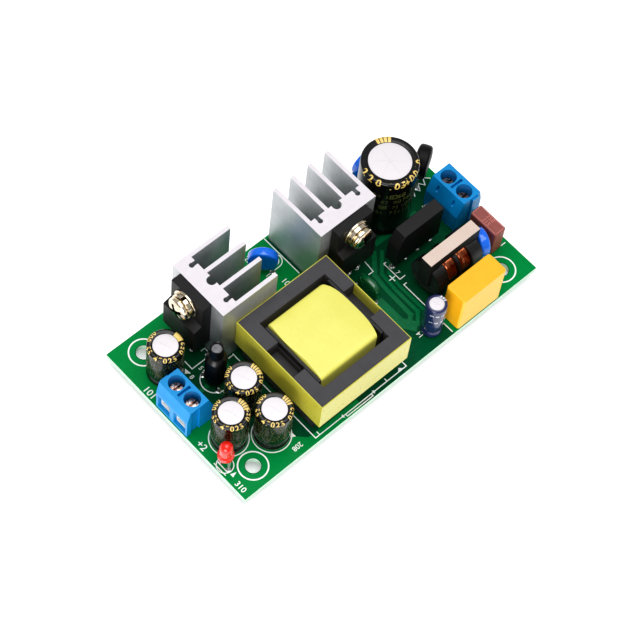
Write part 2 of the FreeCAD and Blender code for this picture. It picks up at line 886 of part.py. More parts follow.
def make_film_capacitor():
    # A flat dipped body on edge, thickest in the middle and drawn in to a narrow end at each side
    thick, wide, high = film_cap
    x = primary_sink_x - film_cap_shift
    y = primary_sink_y - device_depth - film_cap_gap - wide / 2
    z = top + film_cap_lift
    shoulder = wide / 2 - thick / 2
    half_tip = film_cap_tip / 2
    quarter = [(half_tip, wide / 2), (thick / 2, shoulder)]
    side = quarter + [(px, -py) for px, py in reversed(quarter)]
    outline = side + [(-px, -py) for px, py in side]
    body = extruded([V(x + px, y + py, z) for px, py in outline], V(0, 0, high))
    level = [one for one in body.Edges if one.BoundBox.ZLength < high / 2]
    export("film_capacitor", [body.makeChamfer(film_cap_edge, level)])
    return lead_pair(x, y, film_cap_pitch, film_cap_lift, 90)


# Underside parts, soldered flat against the board


def leaded_package(size, x, y, legs_per_side, pitch):
    length, width, height = size
    leg_width, leg_reach, leg_height = leg
    body = block(x, y, -height, length, width, height)
    pieces = [body]
    for side in (-1, 1):
        for i in range(legs_per_side):
            leg_x = x + (i - (legs_per_side - 1) / 2) * pitch
            leg_y = y + side * (width + leg_reach) / 2
            pieces.append(block(leg_x, leg_y, -leg_height, leg_width, leg_reach, leg_height))
    return fused(pieces)


def make_underside():
    export("controller_chip", [leaded_package(controller, *controller_place, controller_legs, leg_pitch)])
    export("optocoupler", [leaded_package(coupler, *coupler_place, coupler_legs, coupler_leg_pitch)])
    diodes = []
    for x, y in diode_places:
        length, width, height = diode
        body = block(x, y, -height, length, width, height)
        tab_out, tab_width, tab_height = diode_tab
        ends = block(x, y, -tab_height, length + 2 * tab_out, tab_width, tab_height)
        diodes.append(body.fuse(ends).removeSplitter())
    export("surface_diodes", diodes)
    chips = []
    for (x, y), count in zip(chip_starts, chip_counts):
        for i in range(count):
            chips.append(block(x + i * chip_step, y, -chip[2], chip[1], chip[0], chip[2]))
    export("surface_chips", chips)


def make_board():
    board = block(0, 0, 0, board_length, board_width, board_thickness)
    x = half_length - mount_inset_x
    y = half_width - mount_inset_y
    cutters = [rod(sx * x, sy * y, 0, mount_hole_d / 2, board_thickness) for sx in (-1, 1) for sy in (-1, 1)]
    for hole_x, hole_y, dx, dy in lead_holes:
        cutters.append(block(hole_x, hole_y, 0, dx, dy, board_thickness))
    export("circuit_board", [board.cut(Part.makeCompound(cutters))])


make_terminals()
radial_leads = make_capacitors()
make_heatsinks()
make_transformer()
radial_leads += make_rod_choke()
radial_leads += make_light()
make_bridge()
make_line_choke()
radial_leads += make_boxes_and_discs()
radial_leads += make_film_capacitor()
export("radial_leads", radial_leads)
make_underside()
make_board()
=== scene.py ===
import bpy, bmesh, json, random
from math import copysign, cos, hypot, pi, radians, sin
from mathutils import Matrix, Vector

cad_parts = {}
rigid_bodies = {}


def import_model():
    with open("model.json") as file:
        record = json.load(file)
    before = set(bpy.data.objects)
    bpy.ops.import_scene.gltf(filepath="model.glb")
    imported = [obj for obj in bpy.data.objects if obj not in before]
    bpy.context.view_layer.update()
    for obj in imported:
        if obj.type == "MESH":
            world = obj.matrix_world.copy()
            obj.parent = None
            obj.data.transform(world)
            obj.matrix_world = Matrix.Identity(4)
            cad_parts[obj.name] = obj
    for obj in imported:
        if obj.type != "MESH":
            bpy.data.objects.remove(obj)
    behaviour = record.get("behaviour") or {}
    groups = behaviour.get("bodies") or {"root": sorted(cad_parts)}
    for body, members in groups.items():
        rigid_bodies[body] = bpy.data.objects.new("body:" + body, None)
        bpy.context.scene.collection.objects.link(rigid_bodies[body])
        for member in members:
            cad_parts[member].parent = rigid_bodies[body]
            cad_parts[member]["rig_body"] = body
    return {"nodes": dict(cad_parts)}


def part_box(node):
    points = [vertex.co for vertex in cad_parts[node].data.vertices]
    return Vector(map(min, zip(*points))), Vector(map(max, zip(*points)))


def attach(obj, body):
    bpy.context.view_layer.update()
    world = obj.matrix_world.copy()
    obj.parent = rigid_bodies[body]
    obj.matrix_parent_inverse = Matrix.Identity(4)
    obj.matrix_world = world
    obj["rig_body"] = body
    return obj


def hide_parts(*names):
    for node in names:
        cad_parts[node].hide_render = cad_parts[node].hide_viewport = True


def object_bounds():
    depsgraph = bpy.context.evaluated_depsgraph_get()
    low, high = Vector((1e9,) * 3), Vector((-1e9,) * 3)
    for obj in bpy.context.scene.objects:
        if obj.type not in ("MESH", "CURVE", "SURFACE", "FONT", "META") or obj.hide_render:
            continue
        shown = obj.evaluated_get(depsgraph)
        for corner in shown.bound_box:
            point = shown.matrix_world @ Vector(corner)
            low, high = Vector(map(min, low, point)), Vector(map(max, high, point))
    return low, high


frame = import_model()
cadBox = [list(corner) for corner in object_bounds()]
nodes = frame["nodes"]
mm = 0.001  # everything below is in millimetres until a mesh is finished


def boxOf(nodeName):  # a node's low and high corner
    return [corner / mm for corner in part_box(nodeName)]


def show(thing):
    bpy.context.scene.collection.objects.link(thing)
    return thing


boardLow, boardHigh = boxOf("circuit_board")
boardTop = boardHigh.z
random.seed(41)
print("frame loaded:", len(nodes), "nodes")


# camera and light

cameraSettings = {
    "lens": 119.59, "sensor": 36, "near": 0.01, "distance": 476.36, "aside": -1.25, "down": 2.18,
    "azimuth": -50.14, "elevation": 60.56, "roll": 8.65, "aimHeight": 1.6,
}


def placeCamera(s):
    azimuth, elevation, roll = (radians(s[key]) for key in ("azimuth", "elevation", "roll"))
    ahead = Vector((-sin(azimuth) * cos(elevation), cos(azimuth) * cos(elevation), -sin(elevation)))
    turn = ahead.to_track_quat("-Z", "Y").to_matrix() @ Matrix.Rotation(roll, 3, "Z")
    spot = turn @ Vector((s["aside"], -s["down"], s["distance"])) + Vector((0, 0, s["aimHeight"]))
    data = bpy.data.cameras.new("camera")
    data.lens, data.sensor_width, data.clip_start = s["lens"], s["sensor"], s["near"]
    camera = show(bpy.data.objects.new("camera", data))
    camera.matrix_world = Matrix.Translation(spot * mm) @ turn.to_4x4()
    bpy.context.scene.camera = camera


studio = {
    "world": 0.4, "topSize": 0.5, "topPower": 1.95, "topSpot": (0, -0.02, 0.55),
    "sidePower": 1.5, "sideSize": 0.3, "sideSpot": (-0.46, -0.26, 0.16), "floorSize": 3,
}


def areaLight(name, spot, size, power):  # aimed at the board's middle
    data = bpy.data.lights.new(name, "AREA")
    data.size, data.energy = size, power
    lamp = show(bpy.data.objects.new(name, data))
    lamp.location = spot
    lamp.rotation_euler = (-Vector(spot)).to_track_quat("-Z", "Y").to_euler()


def setStudio(s):
    world = bpy.data.worlds.new("studioWorld")
    world.use_nodes = True
    sky = world.node_tree.nodes["Background"].inputs
    sky[0].default_value = (1, 1, 1, 1)
    sky[1].default_value = s["world"]
    bpy.context.scene.world = world
    areaLight("topSoftbox", s["topSpot"], s["topSize"], s["topPower"])
    areaLight("sideSoftbox", s["sideSpot"], s["sideSize"], s["sidePower"])
    bpy.context.scene.view_settings.view_transform = "Standard"
    bpy.context.scene.view_settings.look = "Medium High Contrast"


placeCamera(cameraSettings)
setStudio(studio)
print("camera and light set")


# shader groups that the finishes share

def newGroup(name, inputs, outputs):
    group = bpy.data.node_groups.new(name, "ShaderNodeTree")
    for way, sockets in (("INPUT", inputs), ("OUTPUT", outputs)):
        for label, kind in sockets.items():
            group.interface.new_socket(label, in_out=way, socket_type="NodeSocket" + kind)
    entry = group.nodes.new("NodeGroupInput")
    leave = group.nodes.new("NodeGroupOutput")
    return group, entry.outputs, leave.inputs


def node(tree, kind, links=(), **settings):  # links are (input, source) pairs, settings are node properties
    made = tree.nodes.new("ShaderNode" + kind)
    for key, value in settings.items():
        setattr(made, key, value)
    for key, source in links:
        if isinstance(source, bpy.types.NodeSocket):
            tree.links.new(source, made.inputs[key])
        else:
            made.inputs[key].default_value = source
    return made


def millimetreSpace(tree):  # rest coordinates in millimetres
    spot = node(tree, "TexCoord").outputs["Object"]
    return node(tree, "Mapping", [("Vector", spot), ("Scale", [1 / mm] * 3)]).outputs[0]


def noise(tree, space, scale, detail):
    return node(tree, "TexNoise", [("Vector", space), ("Scale", scale), ("Detail", detail)]).outputs[0]


def spread(tree, value, low, high, toLow=0, toHigh=1):
    return node(tree, "MapRange", [("Value", value), ("From Min", low), ("From Max", high), ("To Min", toLow),
                                   ("To Max", toHigh)]).outputs[0]


def mixed(tree, share, one, two, **settings):
    return node(tree, "Mix", [(0, share), (6, one), (7, two)], data_type="RGBA", **settings).outputs[2]


def makeGrainGroup():  # mottled colour, roughness and fine height
    group, given, out = newGroup(
        "surfaceGrain",
        {"Light": "Color", "Dark": "Color", "Scale": "Float", "Fine Scale": "Float", "Smooth": "Float",
         "Dull": "Float"},
        {"Color": "Color", "Roughness": "Float", "Height": "Float"},
    )
    space = millimetreSpace(group)
    broad = noise(group, space, given["Scale"], 3)
    fine = noise(group, space, given["Fine Scale"], 4)
    most = node(group, "Math", [(0, broad), (1, 0.6)], operation="MULTIPLY").outputs[0]
    both = node(group, "Math", [(0, fine), (1, 0.4), (2, most)], operation="MULTIPLY_ADD").outputs[0]
    colour = mixed(group, spread(group, both, 0.36, 0.64), given["Dark"], given["Light"])
    group.links.new(colour, out["Color"])
    group.links.new(spread(group, fine, 0.3, 0.7, given["Smooth"], given["Dull"]), out["Roughness"])
    group.links.new(both, out["Height"])
    return group


def makeEdgeWearAndSheenGroup():  # where edges stand out and are made bright: rubbed wear, and on the film capacitor and the terminal screws a painted highlight
    group, given, out = newGroup("rubbedEdgesAndSheen", {}, {"Mask": "Float"})
    edge = spread(group, node(group, "NewGeometry").outputs["Pointiness"], 0.52, 0.6)
    broken = spread(group, noise(group, millimetreSpace(group), 2, 2), 0.35, 0.6)
    mask = node(group, "Math", [(0, edge), (1, broken)], operation="MULTIPLY")
    group.links.new(mask.outputs[0], out["Mask"])
    return group


def makeStreakGroup():  # fine parallel lines, as from a die or a saw
    group, given, out = newGroup("dieLines", {"Along": "Vector", "Scale": "Float"}, {"Value": "Float"})
    squeezed = node(group, "VectorMath", [(0, millimetreSpace(group)), (1, given["Along"])], operation="MULTIPLY")
    group.links.new(noise(group, squeezed.outputs[0], given["Scale"], 5), out["Value"])
    return group


grainGroup = makeGrainGroup()
edgeWearAndSheenGroup = makeEdgeWearAndSheenGroup()
streakGroup = makeStreakGroup()
paint = {}  # every finish by its name
finishBasics = {"coatRough": 0.08, "bumpDeep": 0.00004}


def eye(r, g, b):  # a colour as the eye reads it, 0 to 255, in linear light
    return tuple((channel / 255) ** 2.2 for channel in (r, g, b)) + (1,)


def finish(name, light, dark, smooth, dull, scale=0.6, fine=8, bump=0.15, metal=0, coat=0, rubAndSheen=None, lines=None,
           lineDepth=0.3, glow=0, glass=0, specular=0.5):
    made = paint[name] = bpy.data.materials.new(name)
    made.use_nodes = True
    tree = made.node_tree
    shader = tree.nodes["Principled BSDF"]
    grain = node(tree, "Group", node_tree=grainGroup)
    grains = {"Light": light, "Dark": dark, "Scale": scale, "Fine Scale": fine, "Smooth": smooth, "Dull": dull}
    for key, value in grains.items():
        grain.inputs[key].default_value = value
    colour = grain.outputs["Color"]
    height = grain.outputs["Height"]
    if lines:
        streak = node(tree, "Group", node_tree=streakGroup)
        streak.inputs["Along"].default_value = lines[:3]
        streak.inputs["Scale"].default_value = lines[3]
        shade = spread(tree, streak.outputs[0], 0.3, 0.7, 1 - lineDepth, 1)
        colour = mixed(tree, 1, colour, shade, blend_type="MULTIPLY")
        height = node(tree, "Math", [(0, height), (1, streak.outputs[0])], operation="ADD").outputs[0]
    if rubAndSheen:
        edges = node(tree, "Group", node_tree=edgeWearAndSheenGroup)
        colour = mixed(tree, edges.outputs[0], colour, rubAndSheen)
    tree.links.new(colour, shader.inputs["Base Color"])
    tree.links.new(grain.outputs["Roughness"], shader.inputs["Roughness"])
    if bump:
        relief = node(tree, "Bump", [("Strength", bump), ("Distance", finishBasics["bumpDeep"]), ("Height", height)])
        tree.links.new(relief.outputs[0], shader.inputs["Normal"])
    plain = {"Metallic": metal, "Specular IOR Level": specular, "Coat Weight": coat, "Transmission Weight": glass,
             "Coat Roughness": finishBasics["coatRough"]}
    if glow:
        plain.update({"Emission Color": light, "Emission Strength": glow})
    for key, value in plain.items():
        shader.inputs[key].default_value = value
    return made


def addFinishes(rows):  # name: light, dark, smooth, dull, scale, fine, then what sets it apart
    for name, (light, dark, *rest, more) in rows.items():
        finish(name, eye(*light), eye(*dark), *rest, **more)


# mesh helpers

def finished(name, bm, materials, stands=(), body="board", bevel=0, segments=2, crease=30):
    # the mesh becomes a piece, materials are names of finishes with spaces between
    bmesh.ops.scale(bm, vec=(mm, mm, mm), verts=bm.verts)
    mesh = bpy.data.meshes.new(name)
    bm.to_mesh(mesh)
    bm.free()
    for one in materials.split():
        mesh.materials.append(paint[one])
    mesh.shade_smooth()
    mesh.set_sharp_from_angle(angle=radians(crease))
    piece = show(bpy.data.objects.new(name, mesh))
    if bevel:
        edge = piece.modifiers.new("softEdges", "BEVEL")
        edge.width = bevel * mm
        edge.segments = segments
        edge.limit_method = "ANGLE"
        edge.angle_limit = radians(crease)
        edge.harden_normals = True
    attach(piece, body)
    if stands:
        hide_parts(*stands)
    return piece


def turnOut(bm):  # faces look outwards
    bmesh.ops.recalc_face_normals(bm, faces=bm.faces)


def ownForm(nodeName):
    bm = bmesh.new()
    bm.from_mesh(nodes[nodeName].data)
    bmesh.ops.remove_doubles(bm, verts=bm.verts, dist=0.002 * mm)
    return bm


def softened(nodeName, materials, bevel=0.12, segments=2, sorter=None):
    # the node's own form with softer edges, its facets joined back into whole faces
    bm = ownForm(nodeName)
    for face in bm.faces:
        face.material_index = 0
    bmesh.ops.dissolve_limit(bm, angle_limit=radians(1), verts=bm.verts, edges=bm.edges)
    bmesh.ops.scale(bm, vec=(1 / mm, 1 / mm, 1 / mm), verts=bm.verts)
    if sorter:
        for face in bm.faces:
            face.material_index = sorter(face)
    name = nodeName.replace("_", "-") + "-soft"
    finished(name, bm, materials, [nodeName], nodes[nodeName]["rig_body"], bevel, segments)


def islands(nodeName):  # the low and high corner and the foot of each separate solid of a node
    bm = ownForm(nodeName)
    left = set(bm.verts)
    found = []
    while left:
        seen = {left.pop()}
        edge = list(seen)
        while edge:
            for joined in edge.pop().link_edges:
                fresh = set(joined.verts) - seen
                seen |= fresh
                edge += fresh
        left -= seen
        spots = [vert.co / mm for vert in seen]
        low, high = (Vector([pick(s[i] for s in spots) for i in range(3)]) for pick in (min, max))
        foot = [s for s in spots if s.z < low.z + 0.1]
        found.append((low, high, sum(foot, Vector()) / len(foot)))
    bm.free()
    return sorted(found, key=lambda item: (round(item[2].x, 2), round(item[2].y, 2)))


def skin(bm, rings, mat=0, caps=False):  # faces between rings of points, where a ring of one point is a tip
    faces = []
    for one, two in zip(rings, rings[1:]):
        for i in range(max(len(one), len(two))):
            corners = [one[i % len(one)], one[(i + 1) % len(one)], two[(i + 1) % len(two)], two[i % len(two)]]
            corners = list(dict.fromkeys(corners))
            if len(corners) > 2:
                faces.append(bm.faces.new(corners))
    if caps:
        faces += [bm.faces.new(rings[0][::-1]), bm.faces.new(rings[-1])]
    for face in faces:
        face.material_index = mat


def addTurned(bm, profile, spot=(0, 0, 0), steps=48, mat=0, turn=None, wobble=None):
    # profile is (radius, height) pairs, wobble(angle, index) gives a change of (radius, height)
    rings = []
    for index, (radius, height) in enumerate(profile):
        ring = []
        for i in range(steps if radius else 1):
            angle = 2 * pi * i / steps
            dr, dz = wobble(angle, index) if wobble and radius else (0, 0)
            ring.append(bm.verts.new(((radius + dr) * cos(angle), (radius + dr) * sin(angle), height + dz)))
        rings.append(ring)
    skin(bm, rings, mat)
    verts = [vert for ring in rings for vert in ring]
    if turn:
        bmesh.ops.transform(bm, matrix=turn, verts=verts)
    bmesh.ops.translate(bm, vec=spot, verts=verts)


def addPrism(bm, points, low, high, mat=0):  # an upright prism over a plan outline
    skin(bm, [[bm.verts.new((x, y, z)) for x, y in points] for z in (low, high)], mat, caps=True)


def addBlock(bm, middle, size, turn=0):
    x, y, z = middle
    dx, dy, dz = (s / 2 for s in size)
    spin = Matrix.Rotation(radians(turn), 2)
    corners = [spin @ Vector((a * dx, b * dy)) for a, b in ((-1, -1), (1, -1), (1, 1), (-1, 1))]
    addPrism(bm, [(x + c.x, y + c.y) for c in corners], z - dz, z + dz)


def addTube(bm, path, radius, steps):  # a round wire along a list of points
    path = [Vector(p) for p in path]
    rings = []
    side = None
    for i, spot in enumerate(path):
        way = (path[min(i + 1, len(path) - 1)] - path[max(i - 1, 0)]).normalized()
        side = side or way.orthogonal().normalized()
        side = (side - way * side.dot(way)).normalized()
        other = way.cross(side)
        angles = [2 * pi * k / steps for k in range(steps)]
        rings.append([bm.verts.new(spot + radius * (cos(a) * side + sin(a) * other)) for a in angles])
    skin(bm, rings, caps=True)


def addArc(bm, spot, radius, width, low, high, start=0, end=360, steps=64):
    # a flat ring, or part of one, standing on the board
    inner, outer = radius - width / 2, radius + width / 2
    whole = end - start >= 360
    count = max(3, int(steps * (end - start) / 360))
    rings = []
    for i in range(count if whole else count + 1):
        angle = radians(start + (end - start) * i / count)
        rings.append([bm.verts.new((spot[0] + r * cos(angle), spot[1] + r * sin(angle), z))
                      for r, z in ((inner, high), (outer, high), (outer, low), (inner, low))])
    skin(bm, rings + rings[:1] if whole else rings, caps=not whole)


def addStroke(bm, a, b, width, low, high):  # a straight printed line
    a, b = Vector(a), Vector(b)
    way = (b - a).normalized() * width / 2
    side = Vector((-way.y, way.x))
    addPrism(bm, (a - way - side, b + way - side, b + way + side, a - way + side), low, high)


def addText(bm, words, size, place, mat=0, thick=0.02, bold=0):
    # plain figures, centred, where place(x, y, lift) says where a point of the print goes
    data = bpy.data.curves.new("figures", "FONT")
    data.body = words
    data.size = size
    data.offset = bold * size
    data.align_x = data.align_y = "CENTER"
    data.resolution_u = 3
    holder = show(bpy.data.objects.new("figures", data))
    mesh = bpy.data.meshes.new_from_object(holder.evaluated_get(bpy.context.evaluated_depsgraph_get()))
    bpy.data.objects.remove(holder)
    bpy.data.curves.remove(data)
    under, over = ([bm.verts.new(place(v.co.x, v.co.y, lift)) for v in mesh.vertices] for lift in (0, thick))
    uses = {}
    for face in mesh.polygons:
        loop = list(face.vertices)
        bm.faces.new([over[i] for i in loop]).material_index = mat
        bm.faces.new([under[i] for i in reversed(loop)]).material_index = mat
        for pair in zip(loop, loop[1:] + loop[:1]):
            uses[pair] = True
    for a, b in uses:
        if (b, a) not in uses:
            bm.faces.new([under[a], under[b], over[b], over[a]]).material_index = mat
    bpy.data.meshes.remove(mesh)


def carve(piece, cutter):  # cuts a bmesh out of a finished piece
    bmesh.ops.scale(cutter, vec=(mm, mm, mm), verts=cutter.verts)
    turnOut(cutter)
    mesh = bpy.data.meshes.new("cutter")
    cutter.to_mesh(mesh)
    cutter.free()
    for one in piece.data.materials:
        mesh.materials.append(one)
    tool = show(bpy.data.objects.new("cutter", mesh))
    cut = piece.modifiers.new("cut", "BOOLEAN")
    cut.operation = "DIFFERENCE"
    cut.solver = "EXACT"
    cut.object = tool
    bpy.context.view_layer.update()
    result = bpy.data.meshes.new_from_object(piece.evaluated_get(bpy.context.evaluated_depsgraph_get()))
    while len(result.materials) > len(piece.data.materials):
        result.materials.pop(index=len(result.materials) - 1)
    piece.modifiers.remove(cut)
    old = piece.data
    piece.data = result
    result.name = piece.name
    bpy.data.meshes.remove(old)
    bpy.data.objects.remove(tool)
    result.set_sharp_from_angle(angle=radians(30))


def column(radius, low, high):  # the profile of a plain cylinder
    return [(0, low), (radius, low), (radius, high), (0, high)]


def arcPoints(cx, cz, radius, start, end, count):
    angles = [radians(start + (end - start) * i / count) for i in range(count + 1)]
    return [(cx + radius * cos(a), cz + radius * sin(a)) for a in angles]


# circuit board: solder mask over copper, printed marks, pads and solder

addFinishes({
    # the bare mask's dark green stands for the shade that falls between the parts (painted shade); the mask over
    # copper is lighter, partly from the copper, partly as painted light
    "solderMask": ((0, 86, 56), (0, 76, 48), 0.26, 0.36, 0.12, 1.1, dict(bump=0.12, specular=0.05)),
    "maskOverCopperPaintedLight": ((0, 140, 74), (0, 134, 69), 0.24, 0.34, 0.15, 1.3, dict(bump=0.12, specular=0.05)),
    "maskOverRuns": ((0, 118, 74), (0, 110, 68), 0.2, 0.3, 0.15, 1.3, dict(bump=0.12, specular=0.16)),
    "glassEdge": ((214, 240, 222), (190, 226, 202), 0.55, 0.75, 2, 12,
        dict(lines=(0.3, 0.3, 9, 1.5), lineDepth=0.25)),
    "printWhite": ((252, 254, 252), (240, 246, 242), 0.45, 0.6, 2, 14, {}),
    "solder": ((205, 206, 204), (160, 162, 160), 0.16, 0.34, 1.2, 6, dict(metal=1, bump=0.35)),
    "tinned": ((214, 214, 210), (176, 176, 172), 0.2, 0.38, 0.8, 7, dict(metal=1, bump=0.2)),
})
boardLook = {"maskRise": 0.035, "printRise": 0.03, "holeInset": (6.6, 4.9)}


def levelFirst(face):  # the first finish for level faces, the second for the others
    return 0 if abs(face.normal.z) > 0.9 else 1


def holeSpots():  # the four mounting holes
    x, y = boardLook["holeInset"]
    return [(a, b) for a in (boardLow.x + x, boardHigh.x - x) for b in (boardLow.y + y, boardHigh.y - y)]


copperShapes = {  # copper under the mask on the top face; its broad fields lie where the board is open and are finished lighter, partly from the copper, partly as painted light
    "lines": [
        (1.1, [(18.6, 3.8), (14.7, -0.6), (14.2, -5), (13.9, -13.2), (12.4, -14.4)]),
        (0.9, [(20.2, 2.9), (16.2, -1.4), (15.7, -6.4), (15.7, -13.6), (13.4, -16)]),
        (0.8, [(21.4, 1.8), (17.6, -2.2), (17.1, -6.4), (17.1, -13.8)]),
        (2.6, [(10.6, -7), (10.6, -13.2), (12.2, -15.4)]),
        (1.4, [(21, 5.4), (24.6, 5.4), (33, 5.4), (35.4, 3)]), (1.1, [(-33, 2.8), (-35.4, 2.8)]),
        (1, [(-26, 2.8), (-26, 5.6), (-28.4, 8)]),
    ],
    "paintedLightPours": [  # broad fields of copper, placed where the board lies open to the light: partly painted light
        [(-44.48, -22.98), (-10, -22.98), (-10, -20.9), (-24.2, -20.9), (-25.4, -19.7), (-34.8, -10.6),
         (-36.2, -9.2), (-36.2, 7.2), (-34.2, 9.2), (-34.2, 15.4), (-32.4, 17.2), (-27.2, 17.2), (-27.2, 22.98),
         (-44.48, 22.98)],
        [(-26.6, 22.3), (-26.6, 22.98), (26.6, 22.98), (26.6, 22.3), (2, 22.3), (2, 6), (-10.6, 6),
         (-10.6, 22.3)],
        [(18.2, -22.98), (44.48, -22.98), (44.48, -4.6), (36.2, -4.6), (35, -5.8), (35, -15.8), (33.6, -17),
         (18.2, -17)],
        [(42.2, 7), (44.48, 7), (44.48, 22.98), (42.2, 22.98)],
    ],
    "sunk": 0.05, "under": 0.004, "apart": 0.0004, "clear": 1.9,
}


def makeTraces(s):
    low, high = boardTop - s["sunk"], boardTop + boardLook["maskRise"]
    bm = bmesh.new()
    for corners in s["paintedLightPours"]:
        addPrism(bm, corners, low, high - s["under"])
    turnOut(bm)
    paintedLightPours = finished("board-pours", bm, "maskOverCopperPaintedLight")
    holes = bmesh.new()
    for spot in holeSpots():
        addTurned(holes, column(s["clear"], boardTop - 1, boardTop + 1), (*spot, 0))
    carve(paintedLightPours, holes)
    bm = bmesh.new()
    for width, points in s["lines"]:
        for a, b in zip(points, points[1:]):
            addStroke(bm, a, b, width, low, high)
            high += s["apart"]  # overlapping ends never lie in one plane
    finished("board-traces", bm, "maskOverRuns", bevel=0.02)


solderLook = {
    "reach": {"radial_leads": 0.75, "device_leads": 0.7, "bridge_leads": 0.9, "transformer_pins": 0.8,
              "line_choke_pins": 0.75, "terminal_contacts": 0.95, "heatsink_pegs": 1.25},
    # shares of the reach and of the climb down the lead, then what is added
    "joint": [(1, 0, 0.01), (1, 0, 0.06), (0.62, 0.3, 0), (0.42, 0.7, 0), (0.28, 1, 0), (0, 1, 0.04)],
    "rim": [(0.92, -0.02), (0.92, 0.05), (0.644, 0.1), (0.3312, 0.28), (0, 0.3)], "uneven": 0.03,
}


def makeSolder(s):
    joints, rims = bmesh.new(), bmesh.new()
    for name, reach in s["reach"].items():
        for low, high, foot in islands(name):
            spot = foot.x, foot.y, 0
            climb = min(1.5, 0.75 * abs(low.z))
            turn = 6 * random.uniform(0, 1)
            addTurned(joints, [(a * reach, -b * climb - c) for a, b, c in s["joint"]], spot, steps=20,
                      wobble=lambda a, i: (s["uneven"] * sin(2 * a + turn), s["uneven"] * cos(a + turn)))
            addTurned(rims, [(a * reach, boardTop + z) for a, z in s["rim"]], spot, steps=20)
    finished("solder-joints", joints, "solder")
    finished("solder-rims", rims, "solder")


printMarks = {
    "line": 0.25, "holeRing": (3.35, 0.34), "apart": (0.0004, 0.0002), "bold": 0.012,
    "rings": {"output_capacitor_3": 4.4, "output_capacitor_4": 4.4, "rod_choke_winding": 3.25, "indicator_light": 1.9},
    "runs": [  # printed outlines round the parts, then the zigzag and the plus
        [(-23.2, 5.1), (-23.2, -22), (4.1, -22), (4.1, 0.6)], [(1.95, 11), (1.95, 22.7)],
        [(19.9, -5), (18.35, -5), (18.35, 0.3), (18.9, 0.3)], [(18.8, -6.6), (18.05, -6.6), (18.05, -16.2)],
        [(15.4, 3.4), (15.1, 0.45), (13.8, 0.45)], [(9.5, 0.5), (11.6, 0.5)],
        [(-32.5, 10.5), (-32.5, 8.1), (-28.5, 8.1)], [(-28, 10.2), (-27, 10.2), (-27, 8.9), (-28, 8.9)],
        [(-24.6, 4.9), (-23.2, 4.9)], [(-22, -21.1), (-22, -22)],
        [(-14.3, -22), (-14.3, -22.6), (-6.6, -22.6), (-6.6, -22)], [(-1.8, -21.3), (-1.8, -22)],
        [(-43.9, -12.3), (-43.9, -15.9)], [(-43.1, -12.6), (-43.1, -15.6)], [(18.05, -16.2), (18.05, -22.4)],
        [(36.4, 8.9), (37.4, 10.6), (38.4, 9.2), (39.4, 11), (40.4, 9.6), (41.4, 11.4), (42.6, 10.2)],
        [(16.4, -3.7), (18, -3.7)], [(17.2, -4.5), (17.2, -2.9)],
    ],
    "bridging": {"spot": (-0.33, 17), "ring": (1.1, 0.3), "reach": 1.9, "run": 3.9},
    "arrows": [((-34.5, 8.2), (-33.4, 7.4), (-33.6, 9.2)), ((-27.3, -18.3), (-26.2, -18.9), (-26.2, -17.4)),
               ((-43, -17.4), (-41.6, -16.9), (-43, -16.4)), ((-15.6, -22), (-14.9, -22.5), (-14.9, -21.5)),
               ((-5.3, -22), (-6, -21.5), (-6, -22.5)), ((2.4, -21.2), (1.6, -22), (3.2, -22))],
    "figures": [  # plain figures: text, size, x, y, turn
        ("101", 2.3, -43.4, 9.6, -90), ("+2", 2.3, -43.2, -7.4, -90), ("310", 1.9, -43.3, -20.1, -90),
        ("208", 1.7, -27.6, -20.9, 180), ("8", 1.6, -33.9, 6.6, -90), ("5", 1.6, -30.9, 7, -90),
        ("1", 2, 43, -13.6, -90), ("7", 1.5, 19.2, -3.4, -90), ("9", 1.5, 12.6, 3.3, -90),
        ("6", 1.5, 10, 3.3, -90), ("25", 1.7, -4.7, 21, -90), ("10", 2, -2, 11.2, -90),
        ("14", 1.6, 11.9, -18.3, 90), ("3", 1.6, 36.2, 5.6, -90),
    ],
}


def makePrint(s):
    bm = bmesh.new()
    low, high = boardTop - 0.01, boardTop + boardLook["maskRise"] + boardLook["printRise"]
    for spot in holeSpots():
        addArc(bm, spot, *s["holeRing"], low, high)
    for ringed, radius in s["rings"].items():
        addArc(bm, sum(boxOf(ringed), Vector()) / 2, radius, s["line"], low, high)
    pad = s["bridging"]
    x, y = pad["spot"]
    addArc(bm, pad["spot"], *pad["ring"], low, high)
    addArc(bm, pad["spot"], pad["reach"], s["line"], low - 0.001, high - 0.001, -90, 90)
    for side in (y - pad["reach"], y + pad["reach"]):
        addStroke(bm, (x, side), (x - pad["run"], side), s["line"], low - 0.002, high - 0.002)
    for run in s["runs"]:
        for a, b in zip(run, run[1:]):
            addStroke(bm, a, b, s["line"], low, high)
            low -= s["apart"][0]  # crossing strokes never share a plane
            high += s["apart"][1]
    for corners in s["arrows"]:
        addPrism(bm, corners, low, high)
    for words, size, x, y, turn in s["figures"]:
        spin = Matrix.Rotation(radians(turn), 2)

        def place(px, py, lift):
            return (*(spin @ Vector((px, py)) + Vector((x, y))), high - 0.02 + lift)

        addText(bm, words, size, place, bold=s["bold"])
    finished("board-print", bm, "printWhite")


softened("circuit_board", "solderMask glassEdge", 0, sorter=levelFirst)
makeTraces(copperShapes)
makeSolder(solderLook)
makePrint(printMarks)
print("board, print and solder made")


# screw terminals

addFinishes({
    "terminalBlue": ((18, 144, 210), (15, 136, 202), 0.3, 0.42, 0.4, 5, dict(specular=0.3)),
    # the screws' colour is darkened for the shade deep in the wells (painted shade), and their bright edges are
    # painted glints
    "screwMetal": ((132, 70, 54), (66, 32, 26), 0.12, 0.26, 0.8, 6,
        dict(metal=1, bump=0.3, rubAndSheen=eye(236, 226, 216))),
    "plateMetal": ((250, 250, 248), (232, 232, 228), 0.3, 0.45, 0.9, 8,
        dict(metal=0.2, lines=(6, 0.4, 0.4, 1), lineDepth=0.08)),
})
terminalLook = {"thread": 0.45, "threadDepth": 0.22, "shank": 1.2, "head": 1.4, "slot": (0.6, 0.7), "steps": 20}


